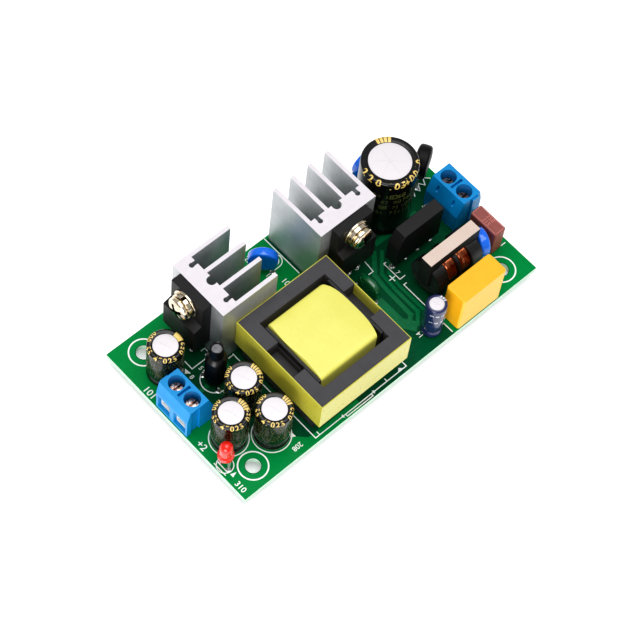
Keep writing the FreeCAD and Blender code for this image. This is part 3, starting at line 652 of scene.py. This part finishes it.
def makeScrew(nodeName, s):
    low, high = boxOf(nodeName)
    x, y = ((low + high) / 2).xy
    headR = (high.x - low.x) / 2
    headZ = high.z - s["head"]
    core = s["shank"] - s["threadDepth"]
    bm = bmesh.new()
    addTurned(bm, [(0, low.z), (core * 0.7, low.z), (core, low.z + 0.25), (core, headZ - 0.05), (headR - 0.12, headZ),
                   (headR, headZ + 0.12), (headR, high.z - 0.35), (headR - 0.3, high.z), (0, high.z)],
              (x, y, 0), steps=40)
    steps = s["steps"]
    last = int((headZ - low.z - 0.4) / s["thread"]) * steps
    spots = []
    for i in range(last + 1):  # the thread fades in and out over its first and last turn
        angle = 2 * pi * i / steps
        r = core + s["threadDepth"] / 2 - 0.12 * (1 - min(1, i / steps, (last - i) / steps))
        spots.append((x + r * cos(angle), y + r * sin(angle), low.z + 0.3 + s["thread"] * i / steps))
    addTube(bm, spots, s["threadDepth"] / 2 + 0.02, steps=6)
    screw = finished(nodeName.replace("_", "-"), bm, "screwMetal", [nodeName], nodes[nodeName]["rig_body"])
    cutter = bmesh.new()
    width, depth = s["slot"]
    addBlock(cutter, (x, y, high.z), (2 * headR + 1, width, 2 * depth))
    carve(screw, cutter)


for end in ("output", "mains"):
    softened(end + "_terminal", "terminalBlue", 0.16, 3)
    for number in (1, 2):
        makeScrew(f"{end}_screw_{number}", terminalLook)
        softened(f"{end}_pressure_plate_{number}", "plateMetal", 0.06)
softened("terminal_contacts", "plateMetal", 0.05)
print("terminals made")


# heatsinks with their power devices

addFinishes({
    "extrudedAluminium": ((214, 216, 218), (196, 199, 202), 0.42, 0.52, 0.2, 2,
        dict(metal=0.85, lines=(3, 3, 0.05, 3), lineDepth=0.1)),
    "sawnAluminium": ((226, 221, 226), (220, 215, 220), 0.55, 0.7, 0.6, 4,
        dict(metal=0.1, lines=(6, 0.8, 0.8, 1.5), lineDepth=0.03, bump=0.1, specular=0.3)),
    "pegSteel": ((120, 124, 122), (96, 100, 98), 0.4, 0.55, 0.8, 6, dict(metal=0.8)),
    "mouldedBlack": ((26, 25, 27), (22, 21, 23), 0.42, 0.52, 0.8, 16, dict(specular=0.35)),
    "brightSteel": ((240, 228, 206), (206, 192, 168), 0.1, 0.18, 0.5, 4, dict(metal=1, bump=0.04)),
    # near black for the screws' cross recess: painted shade in the recess
    "recessDark": ((24, 21, 18), (14, 12, 10), 0.3, 0.5, 1, 8, dict(metal=0.6)),
})

for sink, device in (("output_heatsink", "power_rectifier"), ("primary_heatsink", "power_transistor")):
    softened(sink, "sawnAluminium extrudedAluminium", 0.1, sorter=levelFirst)
    softened(device, "mouldedBlack", 0.22, 3)
softened("heatsink_pegs", "pegSteel", 0.1)
softened("device_leads", "tinned", 0.06)

screwLook = {
    "head": (2.85, 1.75), "crown": 0.95, "cross": (3.9, 0.85, 1.35), "spin": (32, 12), "shank": 1.4,
    "tip": 1.9,  # the thread ends inside the sink's wall
    "washer": (3.5, 0.5), "spring": (3, 1.75, 1.1), "windSteps": 40,
}


def makeDeviceScrews(s):
    headR, headH = s["head"]
    washR, washT = s["washer"]
    outR, inR, springT = s["spring"]
    base = -headH - springT - washT  # local z = 0 is the crown of the head
    for low, high, foot in islands("device_screws"):
        # the head points to -X on the rectifier, number 1, and to -Y on the transistor
        along = 0 if high.x - low.x > high.y - low.y else 1
        turn = Matrix.Rotation(radians(90), 4, "X") if along else Matrix.Rotation(radians(-90), 4, "Y")
        spot = (low + high) / 2
        spot[along] = low[along]
        tip = s["tip"] - (high - low)[along]
        bm = bmesh.new()
        crown = [(headR * sin(radians(a)), -s["crown"] * (1 - cos(radians(a)))) for a in range(0, 91, 6)]
        addTurned(bm, crown + [(headR, 0.45 - headH), (headR - 0.3, -headH), (s["shank"], -headH), (s["shank"], tip),
                               (0, tip)], steps=64)
        screw = finished(f"device-screw-{along + 1}", bm, "brightSteel recessDark")
        cutter = bmesh.new()
        span, width, depth = (size / 2 for size in s["cross"])
        plus = [(width, -span), (width, -width), (span, -width), (span, width), (width, width), (width, span)]
        # the cut faces take the second finish, the painted shade of the recess
        addPrism(cutter, plus + [(-a, -b) for a, b in plus], -2 * depth, 0.5, mat=1)
        carve(screw, cutter)
        spinIn = Matrix.Rotation(radians(s["spin"][along]), 4, "Z")
        screw.data.transform(Matrix.Translation(spot * mm) @ turn @ spinIn)
        bm = bmesh.new()
        bore, top = s["shank"] + 0.1, base + washT
        addTurned(bm, [(bore, base), (washR - 0.06, base), (washR, base + 0.08), (washR, top - 0.08),
                       (washR - 0.08, top), (bore, top), (bore, base)])
        rings = []  # the spring washer is one turn of square wire with its ends apart
        for i in range(s["windSteps"] + 1):
            share = i / s["windSteps"]
            angle = radians(8 + 344 * share)
            under = top + 0.02 + 0.1 * share
            over = under + springT - 0.14
            rings.append([bm.verts.new((r * cos(angle), r * sin(angle), z))
                          for r, z in ((inR, under), (outR, under), (outR, over), (inR, over))])
        skin(bm, rings, caps=True)
        turnOut(bm)
        bmesh.ops.transform(bm, matrix=Matrix.Translation(spot) @ turn, verts=bm.verts)
        finished(f"device-washers-{along + 1}", bm, "brightSteel", ["device_screws"], bevel=0.05)


makeDeviceScrews(screwLook)
print("heatsinks and devices made")


# transformer

addFinishes({
    "ferrite": ((78, 77, 80), (74, 73, 76), 0.66, 0.8, 0.5, 18, dict(bump=0.2, specular=0.3)),
    # both tapes glow faintly: painted light that lifts their shaded faces
    "coreTape": ((188, 182, 70), (183, 177, 65), 0.26, 0.4, 0.15, 1.6,
        dict(coat=0.3, lines=(0.25, 0.25, 3, 0.8), lineDepth=0.03, glow=0.1)),
    "coilTape": ((214, 210, 104), (209, 204, 95), 0.3, 0.45, 0.2, 1.2,
        dict(bump=0.25, coat=0.2, lines=(2.5, 0.2, 0.2, 0.8), lineDepth=0.02, glow=0.12)),
    "bobbinBlack": ((20, 20, 22), (14, 14, 16), 0.34, 0.48, 0.8, 12, dict(bump=0.25, rubAndSheen=eye(46, 45, 48))),
})
coilShape = {"round": 0.7, "bulge": 1.3, "belly": 0.9, "wave": 0.22, "crown": 0.16, "along": 36, "corner": 6,
             "across": 14}


def makeCoil(s):  # tape wound round the windings: its edges wander, its far end bellies out over the bobbin's cheek
    low, high = boxOf("transformer_coil")
    radius = s["round"]
    near, far = low.y + radius, high.y - radius
    under, over = low.z + radius, high.z - s["crown"] - radius
    corners = []
    for quarter, (cy, cz) in enumerate(((far, over), (near, over), (near, under), (far, under))):
        corners += arcPoints(cy, cz, radius, 90 * quarter, 90 * quarter + 90, s["corner"])
    section = []
    for (y0, z0), (y1, z1) in zip(corners, corners[1:] + corners[:1]):
        parts = s["across"] if hypot(y1 - y0, z1 - z0) > 3 else 1
        section += [(y0 + (y1 - y0) * i / parts, z0 + (z1 - z0) * i / parts) for i in range(parts)]
    middleY, reachY = (low.y + high.y) / 2, (high.y - low.y) / 2
    bm = bmesh.new()
    rings = []
    for step in range(s["along"] + 1):
        share = step / s["along"]
        ring = []
        for y, z in section:
            off = (y - middleY) / reachY
            start = low.x + s["wave"] * (1 + sin(4.5 * off + 0.6 * z))
            end = high.x - s["bulge"] * abs(off) ** 3 - (s["belly"] if off > 0 else 0) * off ** 10
            lift = s["crown"] * (1 - off * off) * sin(pi * share) ** 0.5 if z > high.z - 1 else 0
            ring.append(bm.verts.new((start + (end - start) * share, y, z + lift)))
        rings.append(ring)
    skin(bm, rings, caps=True)
    turnOut(bm)
    finished("transformer-coil", bm, "coilTape", ["transformer_coil"], crease=50)


for side in ("left", "right"):
    softened("transformer_core_" + side, "ferrite", 0.05)
softened("transformer_bobbin", "bobbinBlack", 0.15)
makeCoil(coilShape)
softened("transformer_tape", "coreTape", segments=3)
softened("transformer_pins", "tinned", 0.15)
print("transformer made")


# round capacitors

addFinishes({
    "canTop": ((224, 220, 223), (224, 219, 224), 0.4, 0.55, 0.5, 5, dict(metal=0.15)),
    "sleeveBlack": ((20, 19, 18), (16, 16, 16), 0.16, 0.26, 0.4, 3, dict(bump=0.2, coat=0.15, specular=0.4)),
    "sleeveNavy": ((40, 48, 92), (32, 38, 78), 0.16, 0.3, 0.4, 3, dict(bump=0.3, coat=0.4)),
    "goldPrint": ((236, 206, 120), (216, 186, 100), 0.3, 0.45, 1.5, 12, dict(coat=0.3)),
    "faintPrint": ((100, 102, 54), (44, 62, 34), 0.3, 0.45, 1.5, 6, {}),
    "palePrint": ((226, 228, 236), (200, 204, 216), 0.3, 0.45, 1.5, 12, dict(coat=0.3)),
    "canRubber": ((30, 30, 30), (22, 22, 22), 0.6, 0.75, 1, 10, {}),
})
canLook = {
    "rimRound": 0.55, "rimDrop": 0.25, "crimp": 1.7, "crimpDepth": 0.32, "score": (0.14, 0.07), "scoreTurn": 20,
    "printRoom": 0.04, "block": 0.52, "gap": 0.22, "patchLift": 0.03,
}


def canProfile(radius, low, high, discR, s):  # the sleeve's outside, from the bare disc out, down and under
    soft, discZ, crimpZ = s["rimRound"], high - s["rimDrop"], low + s["crimp"]
    shoulder = arcPoints(radius - soft, high - soft, soft, 90, 0, 6)
    return [(discR, discZ), (discR + 0.12, discZ + 0.12), *shoulder, (radius, crimpZ + 0.9),
            (radius - 0.1, crimpZ + 0.45), (radius - s["crimpDepth"], crimpZ), (radius - 0.1, crimpZ - 0.45),
            (radius, crimpZ - 0.9), (radius, low + 0.35), (radius - 0.3, low), (radius - 1, low)]


def canPoint(profile, spot, angle, reach, lift):  # a point at some reach along the profile and angle round the can
    for (r0, z0), (r1, z1) in zip(profile, profile[1:]):
        length = hypot(r1 - r0, z1 - z0)
        if reach <= length or (r1, z1) == profile[-1]:
            share = reach / length
            r = r0 + (r1 - r0) * share + lift * (z0 - z1) / length
            z = z0 + (z1 - z0) * share + lift * (r1 - r0) / length
            return (spot[0] + r * cos(angle), spot[1] + r * sin(angle), z)
        reach -= length


def addPatch(bm, profile, spot, middle, width, near, far):
    # a printed field from reach near to far, width wide at the can's side, centred on an angle in degrees
    half = width / max(r for r, z in profile) / 2
    across = max(2, int(width / 0.5))
    along = max(2, int((far - near) / 0.12) if far < 2 else 14)
    grid = []
    for i in range(across + 1):
        angle = radians(middle) - half + 2 * half * i / across
        reaches = [near + (far - near) * j / along for j in range(along + 1)]
        grid.append([bm.verts.new(canPoint(profile, spot, angle, reach, canLook["patchLift"])) for reach in reaches])
    for one, two in zip(grid, grid[1:]):
        for j in range(along):
            bm.faces.new((one[j], one[j + 1], two[j + 1], two[j]))


def makeCan(name, nodeNames, discR, sleeve, ink, stripeAngle, s, printed, blocks, figureSize, standsOut=1):
    low, high = boxOf(nodeNames[-1])
    high.z -= s["printRoom"]
    middle = (low + high) / 2
    spot = middle.x, middle.y
    radius = (high.x - low.x) / 2
    discZ = high.z - s["rimDrop"]
    profile = canProfile(radius, low.z, high.z, discR, s)
    wave = random.uniform(0, 6)

    def shrink(angle, index):  # the sleeve's cut edge is never quite round
        return (0.015 * sin(5 * angle + wave), 0.01 * sin(7 * angle + wave)) if index < 2 else (0, 0)

    bm = bmesh.new()
    addTurned(bm, profile, (*spot, 0), steps=72, wobble=shrink)
    addTurned(bm, [(discR + 0.3, discZ - 0.12), (0, discZ - 0.12)], (*spot, 0), mat=1)
    addTurned(bm, [(radius - 0.9, low.z + 0.15), (0, low.z + 0.15)], (*spot, 0), steps=32, mat=2)
    turnOut(bm)
    finished(name, bm, sleeve + " canTop canRubber", nodeNames)
    # the pressure disc: slightly domed, scored so that it can open
    bm = bmesh.new()
    edge = discR + 0.1
    dome = [(0, 0.05), (discR * 0.5, 0.04), (discR * 0.85, 0), (edge, -0.05), (edge, -0.6), (0, -0.6)]
    addTurned(bm, [(r, discZ + z) for r, z in dome], (*spot, 0), steps=64)
    turnOut(bm)
    disc = finished(name + "-disc", bm, "canTop")
    wide, deep = s["score"]
    for turn in ((0, 90) if radius < 5 else (0, 60, 120)):  # one line at a time, crossing cutters fail
        cutter = bmesh.new()
        addBlock(cutter, (*spot, discZ + 0.05), (1.5 * discR, wide, 2 * deep), turn + s["scoreTurn"])
        carve(disc, cutter)
    # the polarity stripe with its blocks, and plain figures round the sleeve
    bm = bmesh.new()
    side = sum(hypot(b[0] - a[0], b[1] - a[1]) for a, b in zip(profile, profile[1:9]))
    block = s["block"] * standsOut
    for i in range(blocks):
        shift = (i - (blocks - 1) / 2) * (block + s["gap"]) / radius * 180 / pi
        addPatch(bm, profile, spot, stripeAngle + shift, block, 0.1, side + random.uniform(0.5, 1))
    body = high.z - low.z - 2 * s["crimp"]
    addPatch(bm, profile, spot, stripeAngle, blocks * (block + s["gap"]), side + 0.9, side + body - 1.2)
    for words, angle, reach, turn, *faint in printed:

        def place(px, py, lift):
            if turn:
                px, py = -py, px
            return canPoint(profile, spot, radians(angle) + px / radius, reach - py, 0.02 + lift)

        addText(bm, words, *(faint or [figureSize]), place, mat=1 if faint else 0, bold=0 if faint else 0.022)
    finished(name + "-print", bm, ink + " faintPrint")


def ringOf(count, start, step, figures, reach=1, turn=False, gap=0):  # gap: every so many places stay bare
    ring = [(figures[i % len(figures)], start + i * step, reach, turn) for i in range(count)]
    return [one for i, one in enumerate(ring) if not gap or (i + 1) % gap]


def smallPrint(start, end, step, rows, size):  # rows of small faint figures down the side of a can
    marks = []
    for reach in rows:
        angle = start + random.uniform(0, step)
        while angle < end:
            if random.random() > 0.2:
                marks.append((random.choice("0123456789"), angle, reach, False, size * random.uniform(0.7, 1.25)))
            angle += step * random.uniform(0.8, 1.2)
    return marks


def makeCapacitors(s):
    for number, begin, blocks in ((1, 196, 1), (2, 208, 5), (3, 200, 5), (4, 190, 4)):
        printed = ringOf(9, begin, 16, "470251052", 1.3, gap=6) + ringOf(7, begin - 120, 15, "1000255", 1.2, gap=5)
        printed += smallPrint(140, 330, 9, (3.2, 4.1, 5, 5.9, 6.8, 7.7, 8.6), 1)
        makeCan(f"output-capacitor-{number}", [f"output_capacitor_{number}"], 2.8, "sleeveBlack", "goldPrint", -5, s,
                printed, blocks, 1.8, standsOut=5 if blocks == 1 else 1)
    printed = ringOf(5, 262, 14, "40010", 1.9) + ringOf(3, 165, 19, "220", 1.9) + ringOf(3, 228, 13, "105", 2.3)
    printed += smallPrint(190, 320, 9, (6.4, 8.6, 10.8, 13), 2)
    makeCan("bulk-capacitor", ["bulk_capacitor", "bulk_capacitor_sleeve"], 4.95, "sleeveBlack", "goldPrint", 62, s,
            printed, 4, 2.7, standsOut=1.6)
    printed = ringOf(5, 205, 30, "5022", 2.6, turn=True) + ringOf(5, 205, 30, "1047", 5.4, turn=True)
    makeCan("supply-capacitor", ["supply_capacitor"], 1.7, "sleeveNavy", "palePrint", 0, s, printed, 3, 1.2)


makeCapacitors(canLook)
print("capacitors made")


# rod choke, light, bridge, line choke

addFinishes({
    "heatShrink": ((26, 26, 27), (14, 14, 15), 0.26, 0.4, 0.8, 4, dict(bump=0.3)),
    "rodFerrite": ((150, 150, 154), (88, 88, 92), 0.5, 0.7, 1, 14, dict(bump=0.3)),
    "ledRed": ((242, 46, 30), (220, 28, 16), 0.06, 0.14, 0.5, 3, dict(bump=0.05, coat=0.4, glass=0.3, glow=0.12)),
    "epoxyBlack": ((27, 27, 29), (24, 24, 26), 0.42, 0.52, 0.9, 15, dict(specular=0.4)),
    # the choke core's pale top is a painted reflection of the light on the dark ferrite
    "chokeCream": ((208, 188, 176), (216, 198, 186), 0.3, 0.4, 0.3, 3, dict(bump=0.1)),
    "chokeDark": ((34, 36, 35), (28, 30, 29), 0.5, 0.66, 0.8, 14, dict(bump=0.2, specular=0.3)),
    "copperWire": ((212, 138, 100), (160, 78, 48), 0.12, 0.22, 0.8, 4, dict(metal=1, bump=0.1)),
})
rodLook = {"turns": 16, "ripple": 0.06, "short": 3.4, "neck": 4.3, "uneven": 0.035}


def makeRodChoke(s):
    low, high = boxOf("rod_choke_winding")
    coreLow, coreHigh = boxOf("rod_choke_core")
    radius = (high.x - low.x) / 2
    coreR = (coreHigh.x - coreLow.x) / 2
    neck = high.z - s["neck"]
    profile = [(coreR + 0.1, low.z), (radius - 0.5, low.z), (radius - 0.1, low.z + 0.5)]
    for i in range(s["turns"] * 4 + 1):  # the wire's turns show through the sleeve
        z = low.z + 0.7 + (high.z - low.z - s["short"]) * i / (s["turns"] * 4)
        if z < neck - 0.4:
            profile.append((radius - 0.1 + s["ripple"] * cos(pi * i / 2), z))
    profile += [(radius, neck - 0.3), (radius - 0.3, neck + 0.25), (radius - 0.85, neck + 0.7),
                (radius - 0.75, neck + 1.6), (radius - 0.95, neck + 2.6), (radius - 0.9, high.z - 0.4),
                (coreR + 0.25, high.z), (coreR + 0.04, high.z - 0.2), (coreR + 0.04, coreHigh.z - 1)]
    bm = bmesh.new()
    addTurned(bm, profile, (*((low + high) / 2).xy, 0), wobble=lambda a, i: (s["uneven"] * sin(3 * a + i * 0.4), 0))
    turnOut(bm)
    finished("rod-choke-sleeve", bm, "heatShrink", ["rod_choke_winding"])
    softened("rod_choke_core", "rodFerrite")


def makeLight():
    low, high = boxOf("indicator_light")
    x, y = ((low + high) / 2).xy
    flange = (high.x - low.x) / 2
    r = flange * 1.5 / 1.85
    rim = [(0, 0), (flange - 0.1, 0), (flange, 0.1), (flange, 0.85), (flange - 0.1, 0.95), (r, 0.98)]
    dome = arcPoints(0, high.z - low.z - r, r, 0, 81, 9) + [(0, high.z - low.z)]
    bm = bmesh.new()
    addTurned(bm, rim + dome, (x, y, low.z))
    turnOut(bm)
    finished("indicator-light", bm, "ledRed", ["indicator_light"])
    bm = bmesh.new()  # the two posts inside, one with its cup
    addBlock(bm, (x, y - 0.55, low.z + 1.3), (0.4, 0.9, 2.2))
    addBlock(bm, (x, y + 0.75, low.z + 1.2), (0.4, 0.4, 2))
    cup = [(0, 2.4), (0.35, 2.4), (0.7, 2.9), (0.55, 2.9), (0.25, 2.6), (0, 2.6)]
    addTurned(bm, cup, (x, y - 0.3, low.z), steps=24)
    turnOut(bm)
    finished("indicator-posts", bm, "tinned", bevel=0.03)


chokeLook = {"wire": 0.3, "steps": 40}


def makeLineChoke(s):
    topZ = boxOf("line_choke_core_left")[1].z
    for side in ("left", "right"):  # its top faces are a pale cream that stands for the light's reflection on the dark ferrite (painted reflection), the rest is dark
        softened("line_choke_core_" + side, "chokeDark chokeCream", 0,
                 sorter=lambda face: 1 if face.calc_center_median().z > topZ - 0.1 else 0)
    softened("line_choke_bobbin", "bobbinBlack")
    softened("line_choke_pins", "tinned")
    bm = bmesh.new()
    wire, steps = s["wire"], s["steps"]
    for low, high, foot in islands("line_choke_windings"):
        x, y, z = low.x, (low.y + high.y) / 2, (low.z + high.z) / 2
        radius = (high.z - low.z) / 2
        reach = radius - wire / 2
        spots = []
        for i in range(int((high.x - low.x - wire) / wire) * steps + 1):
            angle = 2 * pi * i / steps
            spots.append((x + wire / 2 + wire * i / steps, y + reach * sin(angle), z + reach * cos(angle)))
        addTube(bm, spots, wire / 2, steps=8)
        addTurned(bm, column(radius - wire * 0.6, 0, high.x - low.x), (x, y, z), steps,
                  turn=Matrix.Rotation(radians(90), 4, "Y"))
    turnOut(bm)
    finished("line-choke-turns", bm, "copperWire", ["line_choke_windings"])


makeRodChoke(rodLook)
makeLight()
softened("bridge_rectifier", "epoxyBlack", 0.18, 3)
softened("bridge_leads", "tinned", 0.08)
makeLineChoke(chokeLook)
print("chokes, light and bridge made")


# box and dipped parts

addFinishes({
    "filmYellow": ((248, 184, 28), (245, 179, 25), 0.34, 0.46, 0.4, 5, dict(bump=0.2, coat=0.1)),
    "fuseBrown": ((154, 86, 80), (144, 78, 72), 0.4, 0.55, 0.6, 6, dict(bump=0.25)),
    "fuseStamp": ((206, 132, 124), (190, 116, 108), 0.35, 0.5, 0.8, 8, {}),
    "discBlue": ((10, 120, 244), (6, 108, 236), 0.12, 0.22, 0.3, 1.4, dict(bump=0.3, coat=0.6)),
    "discBlack": ((26, 25, 28), (20, 19, 21), 0.4, 0.55, 0.6, 5, dict(bump=0.4, specular=0.2)),
    # the bright edge mix on the film capacitor stands for the highlight along its top ridge: painted highlight
    "dipGreen": ((18, 96, 60), (10, 96, 58), 0.16, 0.24, 0.3, 1.4, dict(bump=0.2, coat=0.9, rubAndSheen=eye(110, 190, 150))),
})
boxStamps = {  # figures on the lids: piece, finish, slot, size, how far they stand out, rows
    "box_capacitor": ("box-capacitor-stamp", "filmYellow", "film", 2.1, 0.03, ("104 2750", "0310")),
    "fuse": ("fuse-stamp", "fuseStamp", "fuse", 1.5, 0.08, ("250", "315")),
}
rimLook = {"inset": 0.35, "width": 0.16}


def makeBoxes(stamps):
    softened("box_capacitor", "filmYellow", 0.2, 3)
    softened("fuse", "fuseBrown", 0.18, 3)
    for nodeName, (name, ink, slot, size, rise, rows) in stamps.items():
        low, high = boxOf(nodeName)
        middle, half = (low + high) / 2, (high - low) / 2
        wide = half.x > half.y
        base = high.z - 0.01
        bm = bmesh.new()
        for row, words in enumerate(rows):
            shift = (row - 0.5) * size * 0.95

            def place(px, py, lift):
                x, y = (px, py - shift) if wide else (py - shift, -px)
                return (middle.x + x, middle.y + y, base + lift)

            addText(bm, words, size, place, thick=rise)
        if not wide:  # the fuse's lid has a raised rim
            x, y = (reach - rimLook["inset"] for reach in half.xy)
            corners = [middle.xy + Vector(corner) for corner in ((-x, -y), (x, -y), (x, y), (-x, y))]
            for a, b in zip(corners, corners[1:] + corners[:1]):
                addStroke(bm, a, b, rimLook["width"], base, high.z + rise)
        finished(name, bm, ink)


dipLook = {"around": 64, "out": 12, "uneven": 0.05, "runWide": 0.75, "runLong": 2, "runLimit": 1.2, "pitch": 5}


def makeDipped(nodeName, material, turn, thick, square=2, tall=None, fall=4, s=dipLook):
    # a dipped body on edge: a fat lens that runs down over its leads. A square over 2 makes a rounded oblong,
    # fall is how late its faces turn in to the rim
    low, high = boxOf(nodeName)
    middle = (low + high) / 2
    spots = [vert.co / mm for vert in nodes[nodeName].data.vertices]
    wide = max((spot - middle).xy.length for spot in spots if spot.z > high.z - 5)
    tall = tall or wide
    spin = Matrix.Rotation(radians(turn), 2)
    lump = random.uniform(0, 6)

    def rounded(value):
        return copysign(abs(value) ** (2 / square), value)

    def spotOn(angle, share, side):  # share runs from the middle, 0, to the rim, 1
        bulge = thick / 2 * (1 - share ** fall) ** 0.5 * (1 + s["uneven"] * sin(3 * angle + lump) * share)
        reach = sin(share * pi / 2)
        px, pz = wide * reach * rounded(cos(angle)), tall * reach * rounded(sin(angle))
        if pz < 0:  # the dip drawn down the leads
            near = max(0, 1 - abs(abs(px) - s["pitch"] / 2) / s["runWide"])
            pz = max(pz - near * s["runLong"] * share ** 3, -tall - s["runLimit"])
        return (*(middle.xy + spin @ Vector((px, side * bulge))), max(low.z, high.z - tall + pz))

    bm = bmesh.new()
    count = s["around"]
    for side in (-1, 1):
        rings = [[bm.verts.new(spotOn(0, 0, side))]]
        for k in range(1, s["out"] + 1):
            rings.append([bm.verts.new(spotOn(2 * pi * i / count, k / s["out"], side)) for i in range(count)])
        skin(bm, rings)
    bmesh.ops.remove_doubles(bm, verts=bm.verts, dist=0.01)
    turnOut(bm)
    piece = finished(nodeName.replace("_", "-"), bm, material, [nodeName], crease=75)
    smooth = piece.modifiers.new("smooth", "SUBSURF")
    smooth.levels = smooth.render_levels = 1


makeBoxes(boxStamps)
makeDipped("inrush_thermistor", "discBlack", 30, 3.4)
makeDipped("bridging_capacitor", "discBlue", -45, 2.6)
makeDipped("line_disc_capacitor", "discBlue", 68, 2.6)
makeDipped("rear_disc_capacitor", "discBlue", 0, 2.6)
makeDipped("film_capacitor", "dipGreen", 90, 2.1, square=2.6, tall=2.9, fall=2.2)
softened("radial_leads", "tinned", 0.17)
print("box and dipped parts made")


# underside parts

def bodyOrLeg(face):  # legs are the upright faces close under the board
    return 1 if face.calc_center_median().z > -0.25 and abs(face.normal.z) < 0.9 else 0


for chip in ("controller_chip", "optocoupler"):
    softened(chip, "epoxyBlack tinned", 0.05, sorter=bodyOrLeg)
softened("surface_diodes", "epoxyBlack", 0.08)
softened("surface_chips", "epoxyBlack", 0.05)
print("underside made")


# the floor and the last lines

floorLook = {"light": (0.96, 0.96, 0.96, 1), "dark": (0.95, 0.95, 0.95, 1), "smooth": 0.8, "dull": 0.9, "glow": 0.3}


def makeFloor(s):
    size = studio["floorSize"] / 2
    low = min(corner[2] for corner in cadBox)
    mesh = bpy.data.meshes.new("floor")
    mesh.from_pydata([(-size, -size, low), (size, -size, low), (size, size, low), (-size, size, low)], [],
                     [(0, 1, 2, 3)])
    mesh.materials.append(finish("floorPale", bump=0, **s))
    show(bpy.data.objects.new("floor", mesh))


makeFloor(floorLook)
